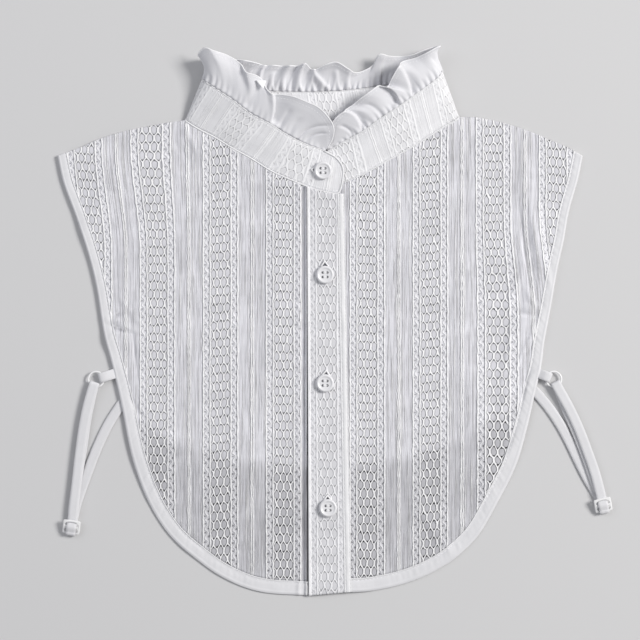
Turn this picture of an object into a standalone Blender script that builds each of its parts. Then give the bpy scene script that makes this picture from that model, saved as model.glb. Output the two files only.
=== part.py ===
"""False collar laid flat: bib front, shorter back, bound edges, stand collar with a gathered ruffle.

X runs to the viewer's right, Y up the garment, Z up from the table. The wearer's right is at -X.
Tables are in millimetres.
"""
import math
from collections import namedtuple

import bmesh
import bpy
from mathutils import Matrix, Vector

MM = 0.001

# Cloth walls and the way they lie on each other
WALL = 1.0
BINDING_WALL = 1.2
GAP = 0.3
NECK_GAP = 0.6
BACK_LEVEL = 0.5 * WALL
FRONT_LEVEL = BINDING_WALL + GAP + 0.5 * WALL
PLACKET_RISE = BINDING_WALL + GAP
TABLE_LEVEL = 0.5 * WALL

# Binding widths at the shoulder and along the hem
BINDING_AT_SHOULDER = 6.3
BINDING_AT_HEM = 9.2
BINDING_CROWN = 0.25
BINDING_WIDENS_FROM_Y = 40.0
BINDING_WIDENS_OVER = 150.0

# How finely the panels are divided, and the narrowest strip that a panel's foot may end in
EDGE_STEPS = 8
SHOULDER_STEPS = 4
HEM_STEPS = 6
EDGE_STATIONS = 35
PANEL_ROWS = 14
BACK_STATIONS = 55
BACK_ROWS = 6
NARROWEST_FOOT = 1.0

# The collar's tables give places as seen from straight above at this distance,
# where a raised place looks further from the middle than it is
SIGHT_DISTANCE = 1608.0
SIGHT_MIDDLE_X = -5.4
SIGHT_MIDDLE_Y = 6.7

# The collar's seams, and where the buttoned end passes over the placket's right side
STEPS_PER_STATION = 2
COLLAR_ROWS = 3
OVER_NECK_END_X = 6.5
PLACKET_NECK_X = 8.0

# The panels' tips end this share of a station below the shoulder
TIP_SHARE = 0.12

# How far the collar lifts the front cloth, and how softly it drops past the back's hem
NECK_REACH = 28.0
HEM_DROP_RUN = 40.0
HEM_CLEARANCE = 12.0

# The fronts' creases fade over this run beside the armhole edge and the placket
CREASE_FADE_RUN = 13.0
ARMHOLE_EDGE_X = -178.0

# The placket and what it laps over
PLACKET_LEFT_TOP = -14.1
PLACKET_LEFT_FOOT = -13.0
PLACKET_RIGHT_TOP = 9.6
PLACKET_RIGHT_FOOT = 15.6
UNDERLAP_EDGE = -11.8
PLACKET_FOOT_LEFT_Y = -177.8
PLACKET_FOOT_RIGHT_Y = -175.3
PLACKET_CLIMB_FROM = 9.0
PLACKET_CLIMB_RUN = 8.0
PLACKET_COLUMNS = 4
PLACKET_ROWS = 24

# Gathers along the collar's top
GATHER_COUNT = 84
GATHER_DEPTH = 0.55
GATHER_FADE = 0.55
RUFFLE_ROWS = 6
RUFFLE_ROOT_GAP = 0.45
RUFFLE_STAND = 0.45
RUFFLE_STEPS = 8

# Buttons
BUTTON_DIAMETER = 12.0
BUTTON_HEIGHT = 2.4
BUTTON_FOOT_RADIUS = 4.8
BUTTON_WIDEST_AT = 1.2
BUTTON_TOP_RADIUS = 5.3
BUTTON_RIM = 1.4
BUTTON_WELL = 0.7
BUTTON_WELL_RADIUS = 4.0
BUTTON_HOLE_DIAMETER = 1.5
BUTTON_HOLE_SPACING = 3.0
BUTTON_SEGMENTS = 20
BUTTON_HOLE_SIDES = 6
BUTTON_FOOT_GAP = 0.3

# Side straps with their rings and sliders
TAPE_WIDTH = 6.5
TAPE_WALL = 1.0
TAPE_TURN = 1.5
TAPE_STEPS = 2
RING_RADIUS = 5.2
RING_WIRE = 1.4
RING_SEGMENTS = 24
RING_WIRE_SIDES = 6
RING_TURN_FROM_MIDDLE = 3.8
RING_LEAD = 2.6
STUB_SPREAD = 1.9
SLIDER_WIDTH = 11.8
SLIDER_HEIGHT = 9.8
SLIDER_BAR = 1.4
SLIDER_SLOPE = 17.0
SLIDER_LEAD_IN = 3.0
SLIDER_LEAD_OUT = 0.8

Point = namedtuple("Point", "x y")
Station = namedtuple("Station", "low_x low_y low_z high_x high_y high_z")
Fold = namedtuple("Fold", "along x y z")
Crease = namedtuple("Crease", "x y angle length width height")
Tape = namedtuple("Tape", "x y z across")
Side = namedtuple("Side", "name shoulder neck edge inner_x")
Strap = namedtuple("Strap", "side down up back ring slider stub_root")
Hardware = namedtuple("Hardware", "x y z turn")
Weave = namedtuple("Weave", "forward lift")
Button = namedtuple("Button", "name x y z tilt")

SHOULDER_RIGHT = [
    Point(-180.9, 116.6), Point(-166.2, 121.9), Point(-154.1, 127.3),
    Point(-137.4, 132.7), Point(-111.2, 138.0), Point(-95.6, 140.3),
]
SHOULDER_LEFT = [
    Point(170.2, 116.6), Point(160.8, 121.9), Point(148.1, 127.3),
    Point(135.3, 132.7), Point(119.3, 138.0), Point(101.2, 142.0), Point(88.0, 142.6),
]
EDGE_RIGHT = [
    Point(-180.9, 116.6), Point(-176.9, 98.5), Point(-168.8, 76.4), Point(-160.8, 52.3),
    Point(-154.8, 28.1), Point(-150.1, -1.3), Point(-144.7, -22.1), Point(-138.3, -49.6),
    Point(-131.5, -83.8), Point(-122.6, -109.9), Point(-112.6, -128.6), Point(-101.8, -142.0),
    Point(-85.8, -155.4), Point(-72.7, -164.5), Point(-56.3, -172.2), Point(-39.5, -176.2),
    Point(-14.3, -177.6),
]
EDGE_LEFT = [
    Point(170.2, 116.6), Point(166.8, 100.5), Point(160.8, 79.1), Point(157.5, 60.3),
    Point(152.8, 38.9), Point(148.7, 14.7), Point(144.7, -6.7), Point(142.4, -24.5),
    Point(138.0, -43.6), Point(133.3, -64.3), Point(126.0, -89.8), Point(114.6, -113.2),
    Point(101.2, -136.7), Point(85.8, -152.1), Point(70.4, -162.1), Point(52.3, -169.5),
    Point(32.2, -174.2), Point(15.7, -175.5), Point(-11.6, -175.9),
]
BACK_HEM = [
    Point(-140.6, -38.0), Point(-139.0, -46.5), Point(-134.0, -54.5), Point(-117.3, -66.5),
    Point(-97.0, -78.0), Point(-63.0, -86.4), Point(-30.0, -91.6), Point(0.0, -92.6),
    Point(30.0, -89.0), Point(57.0, -83.1), Point(82.4, -74.0), Point(109.2, -61.0),
    Point(128.0, -51.0), Point(136.2, -43.0), Point(139.6, -34.0),
]

# The stand collar, from its buttoned end round the wearer's neck to the end beneath
COLLAR = [
    Station(9.6, 99.8, 5.0, 10.3, 105.9, 5.4),
    Station(8.6, 95.5, 4.8, 9.0, 110.9, 6.0),
    Station(6.0, 91.8, 4.6, 5.0, 115.6, 6.5),
    Station(-0.7, 92.9, 4.5, 0.0, 118.6, 6.9),
    Station(-8.0, 94.5, 4.4, -6.0, 121.3, 7.3),
    Station(-20.1, 99.2, 4.2, -15.4, 124.6, 8.2),
    Station(-36.9, 106.5, 3.9, -27.5, 130.7, 9.6),
    Station(-51.3, 115.4, 3.8, -38.9, 138.0, 11.0),
    Station(-64.3, 122.6, 3.8, -51.6, 144.7, 12.0),
    Station(-75.2, 129.3, 3.8, -63.0, 153.4, 12.6),
    Station(-85.8, 134.7, 3.8, -73.7, 160.5, 12.4),
    Station(-92.6, 138.8, 3.6, -80.6, 165.0, 11.4),
    Station(-95.1, 140.7, 2.3, -84.1, 168.2, 7.2),
    Station(-92.6, 141.9, 0.9, -81.4, 169.0, 3.0),
    Station(-75.7, 139.4, 0.7, -68.3, 164.2, 2.0),
    Station(-44.2, 136.7, 0.7, -44.2, 160.0, 2.0),
    Station(0.0, 135.3, 0.7, 0.0, 159.5, 2.4),
    Station(41.5, 137.3, 0.7, 38.2, 163.5, 2.0),
    Station(71.7, 140.6, 0.7, 64.0, 168.5, 2.0),
    Station(84.6, 143.6, 0.9, 74.0, 173.2, 3.0),
    Station(87.4, 143.0, 2.3, 76.7, 172.9, 7.2),
    Station(84.9, 140.6, 3.6, 74.2, 169.2, 11.4),
    Station(77.7, 136.7, 3.7, 67.4, 163.8, 12.6),
    Station(68.3, 130.7, 3.7, 57.6, 156.8, 12.8),
    Station(56.3, 123.3, 3.6, 45.6, 148.4, 12.2),
    Station(45.6, 117.2, 3.4, 34.8, 141.4, 11.0),
    Station(34.8, 111.2, 3.1, 22.8, 132.7, 9.0),
    Station(20.8, 103.2, 2.8, 11.4, 126.6, 6.6),
    Station(10.7, 99.2, 2.7, 1.3, 120.6, 5.0),
    Station(0.0, 95.1, 2.6, -7.4, 116.6, 4.6),
    Station(-12.1, 92.5, 2.6, -16.8, 113.9, 4.6),
]

# Rows of the collar's table: its two folds, and the back's neck seam between them
RIGHT_FOLD_ROW = 12
BACK_FIRST_ROW = 13
BACK_LAST_ROW = 19
LEFT_FOLD_ROW = 20

# The ruffle's free edge, a row for each crest and trough: how far along the seam
# it is rooted, and where it lies
RUFFLE = [
    Fold(19.0, -0.2, 121.9, 8.0),
    Fold(25.0, 3.2, 128.3, 11.0),
    Fold(32.0, 4.2, 135.5, 14.0),
    Fold(38.0, 1.0, 142.0, 16.5),
    Fold(44.0, -5.7, 149.1, 18.0),
    Fold(49.0, -14.4, 153.2, 19.0),
    Fold(54.0, -22.8, 156.4, 19.6),
    Fold(58.0, -30.6, 157.4, 19.4),
    Fold(61.5, -36.8, 158.0, 18.2),
    Fold(65.0, -41.2, 161.6, 16.8),
    Fold(69.0, -43.8, 166.6, 16.6),
    Fold(73.5, -48.3, 170.8, 18.0),
    Fold(79.0, -55.0, 173.0, 19.0),
    Fold(84.5, -58.8, 178.5, 15.5),
    Fold(90.5, -66.5, 183.6, 15.0),
    Fold(98.0, -76.5, 187.2, 18.0),
    Fold(106.0, -83.0, 189.3, 17.0),
    Fold(112.0, -87.4, 184.6, 11.5),
    Fold(118.0, -84.0, 183.4, 6.0),
    Fold(126.0, -74.0, 182.6, 3.4),
    Fold(133.0, -64.3, 181.4, 6.5),
    Fold(140.0, -54.9, 180.6, 9.5),
    Fold(146.5, -46.6, 178.6, 6.0),
    Fold(152.5, -41.9, 177.2, 3.6),
    Fold(158.5, -36.5, 177.4, 8.4),
    Fold(165.0, -30.8, 176.9, 4.4),
    Fold(171.0, -25.2, 177.2, 9.4),
    Fold(177.0, -19.8, 177.0, 4.4),
    Fold(182.0, -14.9, 178.6, 9.6),
    Fold(187.5, -11.0, 174.8, 4.0),
    Fold(194.0, -6.4, 175.4, 7.6),
    Fold(201.0, -0.7, 178.2, 10.8),
    Fold(207.0, 6.0, 179.6, 11.6),
    Fold(213.0, 13.1, 175.4, 8.0),
    Fold(219.0, 18.4, 172.4, 4.4),
    Fold(225.0, 25.0, 174.2, 3.6),
    Fold(231.0, 30.6, 178.0, 4.6),
    Fold(236.5, 34.2, 184.8, 10.0),
    Fold(243.0, 41.5, 183.6, 6.0),
    Fold(250.0, 49.0, 183.4, 4.2),
    Fold(257.0, 56.6, 184.4, 7.4),
    Fold(264.0, 63.6, 187.3, 9.0),
    Fold(271.0, 70.6, 189.6, 9.0),
    Fold(277.0, 75.2, 190.4, 13.0),
    Fold(283.0, 73.0, 189.6, 17.5),
    Fold(290.0, 66.4, 185.9, 17.5),
    Fold(297.0, 58.6, 182.3, 14.0),
    Fold(302.0, 52.2, 180.2, 14.5),
    Fold(306.5, 47.6, 176.8, 20.0),
    Fold(311.5, 43.2, 169.8, 17.0),
    Fold(315.5, 39.4, 162.8, 12.5),
    Fold(319.5, 34.4, 163.0, 18.6),
    Fold(326.0, 28.6, 159.8, 17.6),
    Fold(333.5, 21.4, 155.0, 14.0),
    Fold(340.5, 15.6, 150.0, 10.0),
    Fold(346.0, 11.8, 147.0, 14.0),
    Fold(353.0, 6.6, 143.6, 12.5),
    Fold(360.0, 2.2, 138.2, 9.5),
    Fold(366.0, 0.8, 130.4, 7.5),
    Fold(371.5, 1.0, 124.2, 6.0),
]

# The body's broad creases
CREASES = [
    Crease(-150.0, 88.0, 62.0, 34.0, 7.0, 1.1),
    Crease(-139.0, -2.0, 28.0, 20.0, 6.0, 1.2),
    Crease(-96.0, 20.0, 82.0, 60.0, 9.0, 0.8),
    Crease(-58.0, -55.0, 96.0, 70.0, 10.0, 0.9),
    Crease(-34.0, 40.0, 88.0, 46.0, 7.0, 0.8),
    Crease(40.0, 10.0, 92.0, 80.0, 9.0, 0.8),
    Crease(74.0, 70.0, 64.0, 40.0, 8.0, 1.1),
    Crease(96.0, -40.0, 100.0, 60.0, 9.0, 1.0),
    Crease(130.0, 4.0, 74.0, 30.0, 6.0, 1.5),
    Crease(138.0, 74.0, 102.0, 40.0, 8.0, 1.3),
    Crease(60.0, -110.0, 116.0, 40.0, 8.0, 0.8),
    Crease(-80.0, -118.0, 60.0, 40.0, 8.0, 0.8),
]

# A strap runs from the back's corner down to its slider, up to its ring, round the ring and down again.
# Its rows give the tape's middle and the angle of its width in plan.
RIGHT_STRAP = Strap(
    side="right",
    down=[
        Tape(-139.3, -51.0, 0.5, -32.0), Tape(-146.6, -62.0, 0.5, -29.0), Tape(-154.3, -78.0, 0.5, -24.0),
        Tape(-161.2, -96.0, 0.5, -20.0), Tape(-167.0, -112.0, 0.5, -14.0), Tape(-169.8, -122.0, 0.5, -9.0),
    ],
    up=[
        Tape(-170.2, -119.0, 3.15, -8.0), Tape(-168.6, -106.0, 3.15, -7.0), Tape(-166.4, -86.0, 3.15, -7.0),
        Tape(-163.8, -66.0, 3.15, -8.0), Tape(-160.8, -51.0, 3.3, -12.0),
    ],
    back=[
        Tape(-160.0, -51.0, 1.6, -12.0), Tape(-161.8, -60.0, 1.8, -9.0),
        Tape(-165.2, -84.0, 1.8, -7.0), Tape(-169.0, -106.0, 1.8, -7.0), Tape(-171.0, -122.8, 1.8, -8.0),
    ],
    ring=Hardware(-155.2, -33.0, 2.2, -20.0),
    slider=Hardware(-171.6, -131.7, 3.3, -8.0),
    stub_root=Tape(-143.9, -29.5, 0.7, 107.2),
)
LEFT_STRAP = Strap(
    side="left",
    down=[
        Tape(139.2, -41.7, 0.5, 39.0), Tape(148.2, -52.2, 0.5, 36.0), Tape(157.4, -66.4, 0.5, 30.0),
        Tape(165.2, -82.0, 0.5, 26.0), Tape(172.6, -97.4, 0.5, 25.0), Tape(178.6, -107.6, 0.5, 20.0),
    ],
    up=[
        Tape(181.0, -104.6, 3.15, 15.0), Tape(178.4, -95.0, 3.15, 16.0), Tape(174.2, -83.1, 3.15, 18.0),
        Tape(168.6, -68.0, 3.15, 21.0), Tape(161.6, -52.6, 3.3, 25.0),
    ],
    back=[
        Tape(158.6, -50.6, 1.6, 26.0), Tape(161.8, -58.0, 1.8, 24.0),
        Tape(167.0, -70.0, 1.8, 21.0), Tape(174.0, -88.0, 1.8, 17.0), Tape(181.0, -108.6, 1.8, 13.0),
    ],
    ring=Hardware(150.95, -32.9, 2.2, 26.0),
    slider=Hardware(183.9, -117.0, 3.3, 12.0),
    stub_root=Tape(142.6, -29.6, 0.7, 68.3),
)

# How the tape runs on from the slider's foot bar: over its middle bar, then under its head bar
OVER_THE_BARS = [Weave(0.4, 1.65), Weave(-2.0, 0.85), Weave(-4.2, -0.42), Weave(-6.4, -0.2)]

BUTTONS = [
    Button("collar_button", -3.4, 106.5, 5.75, 6.0),
    Button("placket_button_top", -2.0, 36.9, None, 0.0),
    Button("placket_button_middle", -2.0, -35.5, None, 0.0),
    Button("placket_button_foot", 0.0, -118.9, None, 0.0),
]

CLOTH_WHITE = (0.80, 0.80, 0.83, 1.0)
BINDING_WHITE = (0.86, 0.86, 0.88, 1.0)
BUTTON_WHITE = (0.84, 0.84, 0.86, 1.0)
NYLON_WHITE = (0.88, 0.88, 0.89, 1.0)


def material(name, colour, roughness):
    """A plain material of one colour."""
    made = bpy.data.materials.new(name)
    made.use_nodes = True
    shader = made.node_tree.nodes["Principled BSDF"]
    shader.inputs["Base Color"].default_value = colour
    shader.inputs["Roughness"].default_value = roughness
    shader.inputs["Metallic"].default_value = 0.0
    return made


def vectors(points):
    """Table rows as vectors, flat ones at height zero."""
    return [Vector((p.x, p.y, getattr(p, "z", 0.0))) for p in points]


def under_sight(x, y, z):
    """Where a raised place lies, when seen at x and y from above the garment's middle."""
    share = 1 - z / SIGHT_DISTANCE
    real_x = SIGHT_MIDDLE_X + (x - SIGHT_MIDDLE_X) * share
    real_y = SIGHT_MIDDLE_Y + (y - SIGHT_MIDDLE_Y) * share
    return Vector((real_x, real_y, z))


def smooth_curve(points, steps):
    """A smooth curve through the points, with the given number of steps between each two."""
    ends = [2 * points[0] - points[1], *points, 2 * points[-1] - points[-2]]
    curve = []
    for before, start, end, after in zip(ends, ends[1:], ends[2:], ends[3:]):
        for step in range(steps):
            t = step / steps
            bend = 2 * before - 5 * start + 4 * end - after
            twist = 3 * start - before - 3 * end + after
            curve.append(start + 0.5 * ((end - before) * t + bend * t * t + twist * t * t * t))
    curve.append(points[-1].copy())
    return curve


def lengths_along(curve):
    """The distance from the start at each point of a curve."""
    lengths = [0.0]
    for start, end in zip(curve, curve[1:]):
        lengths.append(lengths[-1] + (end - start).length)
    return lengths


def point_at(curve, lengths, distance):
    """The point that lies the given distance along a curve."""
    for index in range(1, len(curve)):
        if distance <= lengths[index] or index == len(curve) - 1:
            span = max(lengths[index] - lengths[index - 1], 1e-9)
            return curve[index - 1].lerp(curve[index], (distance - lengths[index - 1]) / span)


def evenly_spaced(curve, count):
    """A number of points at equal distances along a curve."""
    lengths = lengths_along(curve)
    return [point_at(curve, lengths, lengths[-1] * index / (count - 1)) for index in range(count)]


def height_at(curve, x):
    """The y at which a curve that runs along X passes a given x."""
    ordered = sorted(curve, key=lambda point: point.x)
    for start, end in zip(ordered, ordered[1:]):
        if x <= end.x:
            share = (x - start.x) / max(end.x - start.x, 1e-9)
            return start.y + (end.y - start.y) * max(0.0, share)
    return ordered[-1].y


def eased(share):
    """A share from 0 to 1 with soft ends."""
    share = min(1.0, max(0.0, share))
    return share * share * (3 - 2 * share)


def moved_in(curve, widths, first_way, last_way):
    """A flat curve moved towards the garment's middle, by its own width at each point.

    An end with a way of its own is mitred along it.
    """
    inner = []
    for index, point in enumerate(curve):
        ahead = curve[min(index + 1, len(curve) - 1)]
        behind = curve[max(index - 1, 0)]
        along = (ahead - behind).normalized()
        inward = Vector((-along.y, along.x, 0.0))
        if inward.dot(point) > 0:
            inward.negate()
        way = inward
        if index == 0 and first_way:
            way = first_way
        if index == len(curve) - 1 and last_way:
            way = last_way
        inner.append(point + way * widths[index] / way.dot(inward))
    return inner


def wall(name, grid, thickness, look):
    """A closed wall of cloth, with a grid of points on its middle surface."""
    mesh = bpy.data.meshes.new(name)
    shape = bmesh.new()
    rows = [[shape.verts.new(point * MM) for point in row] for row in grid]
    for low, high in zip(rows, rows[1:]):
        for index in range(len(low) - 1):
            shape.faces.new((low[index], low[index + 1], high[index + 1], high[index]))
    bmesh.ops.recalc_face_normals(shape, faces=shape.faces)
    shape.to_mesh(mesh)
    shape.free()
    made = bpy.data.objects.new(name, mesh)
    bpy.context.collection.objects.link(made)
    made.data.materials.append(look)
    solid = made.modifiers.new("cloth thickness", "SOLIDIFY")
    solid.thickness = thickness * MM
    solid.offset = 0.0
    mesh.shade_smooth()
    return made


def crease_height(x, y):
    """The height that the broad creases add at a place."""
    total = 0.0
    for crease in CREASES:
        turn = math.radians(crease.angle)
        along = (x - crease.x) * math.cos(turn) + (y - crease.y) * math.sin(turn)
        across = (y - crease.y) * math.cos(turn) - (x - crease.x) * math.sin(turn)
        total += crease.height * math.exp(-(along / crease.length) ** 2 - (across / crease.width) ** 2)
    return total


def front_height(x, y, neck):
    """The middle of the front's wall: on the back, on the table past its hem, and lifted by the collar."""
    past_hem = 0.0
    if y < height_at(back_hem, x):
        past_hem = min(math.hypot(point.x - x, point.y - y) for point in back_hem)
    drop = eased((past_hem - HEM_CLEARANCE) / HEM_DROP_RUN)
    level = FRONT_LEVEL + (TABLE_LEVEL - FRONT_LEVEL) * drop
    nearest = min(neck, key=lambda point: (point.x - x) ** 2 + (point.y - y) ** 2)
    distance = math.hypot(nearest.x - x, nearest.y - y)
    return level + (nearest.z - FRONT_LEVEL) * eased(1 - distance / NECK_REACH)


def panel_grid(lower, upper, rows, height):
    """Points of a panel in columns that run straight up from its lower edge to its upper edge."""
    columns = []
    for point in lower:
        top = height_at(upper, point.x)
        column = []
        for row in range(rows + 1):
            y = point.y + (top - point.y) * row / rows
            column.append(Vector((point.x, y, height(point.x, y))))
        columns.append(column)
    return columns


def binding_widths(curve):
    """The binding's width at each point: narrow at the shoulder, wider by the hem."""
    widths = []
    for point in curve:
        share = eased((BINDING_WIDENS_FROM_Y - point.y) / BINDING_WIDENS_OVER)
        widths.append(BINDING_AT_SHOULDER + (BINDING_AT_HEM - BINDING_AT_SHOULDER) * share)
    return widths


def binding_grid(outer, height, first_way, last_way):
    """Rows across a binding, from the garment's edge to the panel, with a slight crown."""
    widths = binding_widths(outer)
    rows = []
    for share, crown in ((0.0, 0.0), (0.5, BINDING_CROWN), (1.0, 0.0)):
        row = moved_in(outer, [width * share for width in widths], first_way, last_way)
        rows.append([Vector((p.x, p.y, height(p.x, p.y) + crown)) for p in row])
    return rows


def below_shoulder(outline):
    """An edge whose first point is moved a little down from the shoulder's sharp tip."""
    return [outline[0].lerp(outline[1], TIP_SHARE), *outline[1:]]


def shoulder_way(shoulder):
    """The way along a shoulder seam from its tip towards the neck."""
    tip, following = vectors(shoulder[:2])
    return (following - tip).normalized()


def front(side, height):
    """A front panel, with the folded strip that binds its edge up to the shoulder."""
    outer = evenly_spaced(smooth_curve(vectors(side.edge), EDGE_STEPS), EDGE_STATIONS)
    way = shoulder_way(side.shoulder)
    wall(side.name + "_front_binding", binding_grid(outer, height, way, None), WALL, tape_cloth)

    outline = below_shoulder(outer)
    lower = moved_in(outline, [width + GAP for width in binding_widths(outline)], way, None)
    facing = 1.0 if side.inner_x > lower[0].x else -1.0
    lower = [point for point in lower if (side.inner_x - point.x) * facing > NARROWEST_FOOT]
    lower.append(Vector((side.inner_x, lower[-1].y, 0.0)))
    upper = smooth_curve(vectors(side.shoulder), SHOULDER_STEPS) + lowered(side.neck)
    wall(side.name + "_front_panel", panel_grid(lower, upper, PANEL_ROWS, height), WALL, lace)


def lowered(neck):
    """The panels' neck edge, just below the collar's seam."""
    return [point - Vector((0.0, NECK_GAP, 0.0)) for point in neck]


def back_outline():
    """The back's edge from one shoulder round its hem to the other."""
    down = [p for p in smooth_curve(vectors(EDGE_RIGHT), EDGE_STEPS) if p.y > BACK_HEM[0].y]
    up = [p for p in smooth_curve(vectors(EDGE_LEFT), EDGE_STEPS) if p.y > BACK_HEM[-1].y]
    hem = smooth_curve(vectors(BACK_HEM), EDGE_STEPS)
    return evenly_spaced(down + hem + up[::-1], BACK_STATIONS)


def flat_back(x, y):
    """The back lies on the table."""
    return BACK_LEVEL


def back_pieces(neck):
    """The back panel and the binding round its edge."""
    outline = back_outline()
    first_way = shoulder_way(SHOULDER_RIGHT)
    last_way = shoulder_way(SHOULDER_LEFT)
    grid = binding_grid(outline, flat_back, first_way, last_way)
    wall("back_binding", grid, WALL, tape_cloth)

    tips = below_shoulder(below_shoulder(outline)[::-1])[::-1]
    widths = [width + GAP for width in binding_widths(tips)]
    lower = sorted(moved_in(tips, widths, first_way, last_way), key=lambda point: point.x)
    shoulders = smooth_curve(vectors(SHOULDER_RIGHT), SHOULDER_STEPS)
    shoulders += smooth_curve(vectors(SHOULDER_LEFT), SHOULDER_STEPS)
    grid = panel_grid(lower, shoulders + lowered(neck), BACK_ROWS, flat_back)
    wall("back_panel", grid, WALL, lace)


def placket(neck, height):
    """The lapped strip with the buttonholes, its upper end under the collar."""
    grid = []
    for column in range(PLACKET_COLUMNS + 1):
        share = column / PLACKET_COLUMNS
        top_x = PLACKET_LEFT_TOP + (PLACKET_RIGHT_TOP - PLACKET_LEFT_TOP) * share
        foot_x = PLACKET_LEFT_FOOT + (PLACKET_RIGHT_FOOT - PLACKET_LEFT_FOOT) * share
        top_y = height_at(neck, min(top_x, PLACKET_NECK_X)) - NECK_GAP
        foot_y = PLACKET_FOOT_LEFT_Y + (PLACKET_FOOT_RIGHT_Y - PLACKET_FOOT_LEFT_Y) * share
        line = []
        for row in range(PLACKET_ROWS + 1):
            rise = row / PLACKET_ROWS
            x = foot_x + (top_x - foot_x) * rise
            y = foot_y + (top_y - foot_y) * rise
            line.append(Vector((x, y, height(x, y) + PLACKET_RISE)))
        grid.append(line)
    return wall("placket", grid, WALL, lace)


def collar_curves():
    """The collar's neck seam and its top edge, point by point from the buttoned end."""
    low = [under_sight(s.low_x, s.low_y, s.low_z) for s in COLLAR]
    high = [under_sight(s.high_x, s.high_y, s.high_z) for s in COLLAR]
    return smooth_curve(low, STEPS_PER_STATION), smooth_curve(high, STEPS_PER_STATION)


def collar_band(low, high):
    """The stand collar as a ring of cloth laid down."""
    grid = [
        [start.lerp(end, row / COLLAR_ROWS) for row in range(COLLAR_ROWS + 1)]
        for start, end in zip(low, high)
    ]
    return wall("collar_band", grid, WALL, lace)


def collar_ruffle(low, high):
    """The gathered ruffle: broad waves towards its free edge, fine gathers at its seam."""
    seam_lengths = lengths_along(high)
    roots = smooth_curve([Vector((fold.along, 0.0, 0.0)) for fold in RUFFLE], RUFFLE_STEPS)
    edges = smooth_curve([under_sight(fold.x, fold.y, fold.z) for fold in RUFFLE], RUFFLE_STEPS)
    root_values = [root.x for root in roots]
    columns = 2 * GATHER_COUNT
    start = root_values[0]
    run = root_values[-1] - start
    grid = []
    for column in range(columns + 1):
        along = start + run * column / columns
        root = point_at(high, seam_lengths, along)
        edge = point_at(edges, root_values, along)
        nearest = next(i for i, length in enumerate(seam_lengths) if length >= along - 1e-6)
        rise = (high[nearest] - low[nearest]).normalized()
        root = root + rise * RUFFLE_ROOT_GAP
        bend = root + rise * (edge - root).length * RUFFLE_STAND
        ahead = point_at(high, seam_lengths, along + 0.5) - point_at(high, seam_lengths, along - 0.5)
        out = ahead.cross(rise).normalized()
        gather = GATHER_DEPTH * (1 if column % 2 else -1)
        line = []
        for row in range(RUFFLE_ROWS + 1):
            v = row / RUFFLE_ROWS
            point = root * (1 - v) ** 2 + bend * 2 * v * (1 - v) + edge * v * v
            fade = max(0.0, 1 - v / GATHER_FADE)
            line.append(point + out * gather * fade)
        grid.append(line)
    return wall("collar_ruffle", grid, WALL, plain_cloth)


def half_turn(bar, across, heading, rising, lead_in, lead_out):
    """Stations of a tape that turns back round a level bar, with a level run before and after."""
    way = 1 if rising else -1
    outline = [(-lead_in, -TAPE_TURN)]
    for angle in (-90, -45, 0, 45, 90):
        turn = math.radians(angle)
        outline.append((TAPE_TURN * math.cos(turn), TAPE_TURN * math.sin(turn)))
    outline.append((-lead_out, TAPE_TURN))
    places = [bar + heading * reach + Vector((0.0, 0.0, lift * way)) for reach, lift in outline]
    return [Tape(place.x, place.y, place.z, across) for place in places]


def heading_of(across):
    """The way down a tape whose width lies at an angle in plan."""
    turn = math.radians(across)
    return Vector((math.sin(turn), -math.cos(turn), 0.0))


def slider_run(slider):
    """The tape round the slider's foot bar, over its middle bar and under its head bar."""
    down = heading_of(slider.turn)
    middle = Vector((slider.x, slider.y, slider.z))
    slope = math.radians(SLIDER_SLOPE)
    bar_spacing = (SLIDER_HEIGHT - SLIDER_BAR) / 2
    foot_bar = middle + down * bar_spacing * math.cos(slope)
    foot_bar.z -= bar_spacing * math.sin(slope)
    stations = half_turn(foot_bar, slider.turn, down, True, SLIDER_LEAD_IN, SLIDER_LEAD_OUT)
    for weave in OVER_THE_BARS:
        place = middle + down * weave.forward
        stations.append(Tape(place.x, place.y, place.z + weave.lift, slider.turn))
    return stations


def strap(design):
    """One side's long tape, from the back's corner to its sewn end by the slider."""
    ring_middle = Vector((design.ring.x, design.ring.y, design.ring.z))
    down = heading_of(design.ring.turn)
    ring_bar = ring_middle + down * RING_TURN_FROM_MIDDLE
    stations = design.down + slider_run(design.slider) + design.up
    stations += half_turn(ring_bar, design.ring.turn, -down, False, RING_LEAD, RING_LEAD) + design.back
    return tape(design.side + "_strap", stations)


def strap_stub(design):
    """The short tape from the front's binding round the ring and back."""
    root = design.stub_root
    ring_middle = Vector((design.ring.x, design.ring.y, design.ring.z))
    root_point = Vector((root.x, root.y, design.ring.z))
    out = (ring_middle - root_point).normalized()
    bar = ring_middle - out * RING_TURN_FROM_MIDDLE
    upper_root = root._replace(z=root.z + STUB_SPREAD)
    turn = half_turn(bar, root.across, out, True, RING_LEAD, RING_LEAD)
    stations = [root, *turn, upper_root]
    return tape(design.side + "_strap_stub", stations)


def tape(name, stations):
    """A flat tape swept through its stations."""
    centres = smooth_curve(vectors(stations), TAPE_STEPS)
    angles = smooth_curve([Vector((station.across, 0.0, 0.0)) for station in stations], TAPE_STEPS)
    grid = []
    for centre, angle in zip(centres, angles):
        turn = math.radians(angle.x)
        side = Vector((math.cos(turn), math.sin(turn), 0.0)) * TAPE_WIDTH / 2
        grid.append([centre - side, centre + side])
    return wall(name, grid, TAPE_WALL, elastic)


def ring(name, place):
    """A round wire ring that lies flat."""
    bpy.ops.mesh.primitive_torus_add(
        major_segments=RING_SEGMENTS, minor_segments=RING_WIRE_SIDES,
        major_radius=RING_RADIUS * MM, minor_radius=RING_WIRE / 2 * MM,
        location=Vector((place.x, place.y, place.z)) * MM,
    )
    made = bpy.context.object
    made.name = name
    made.data.name = name
    made.data.materials.append(nylon)
    made.data.shade_smooth()
    return made


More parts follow.
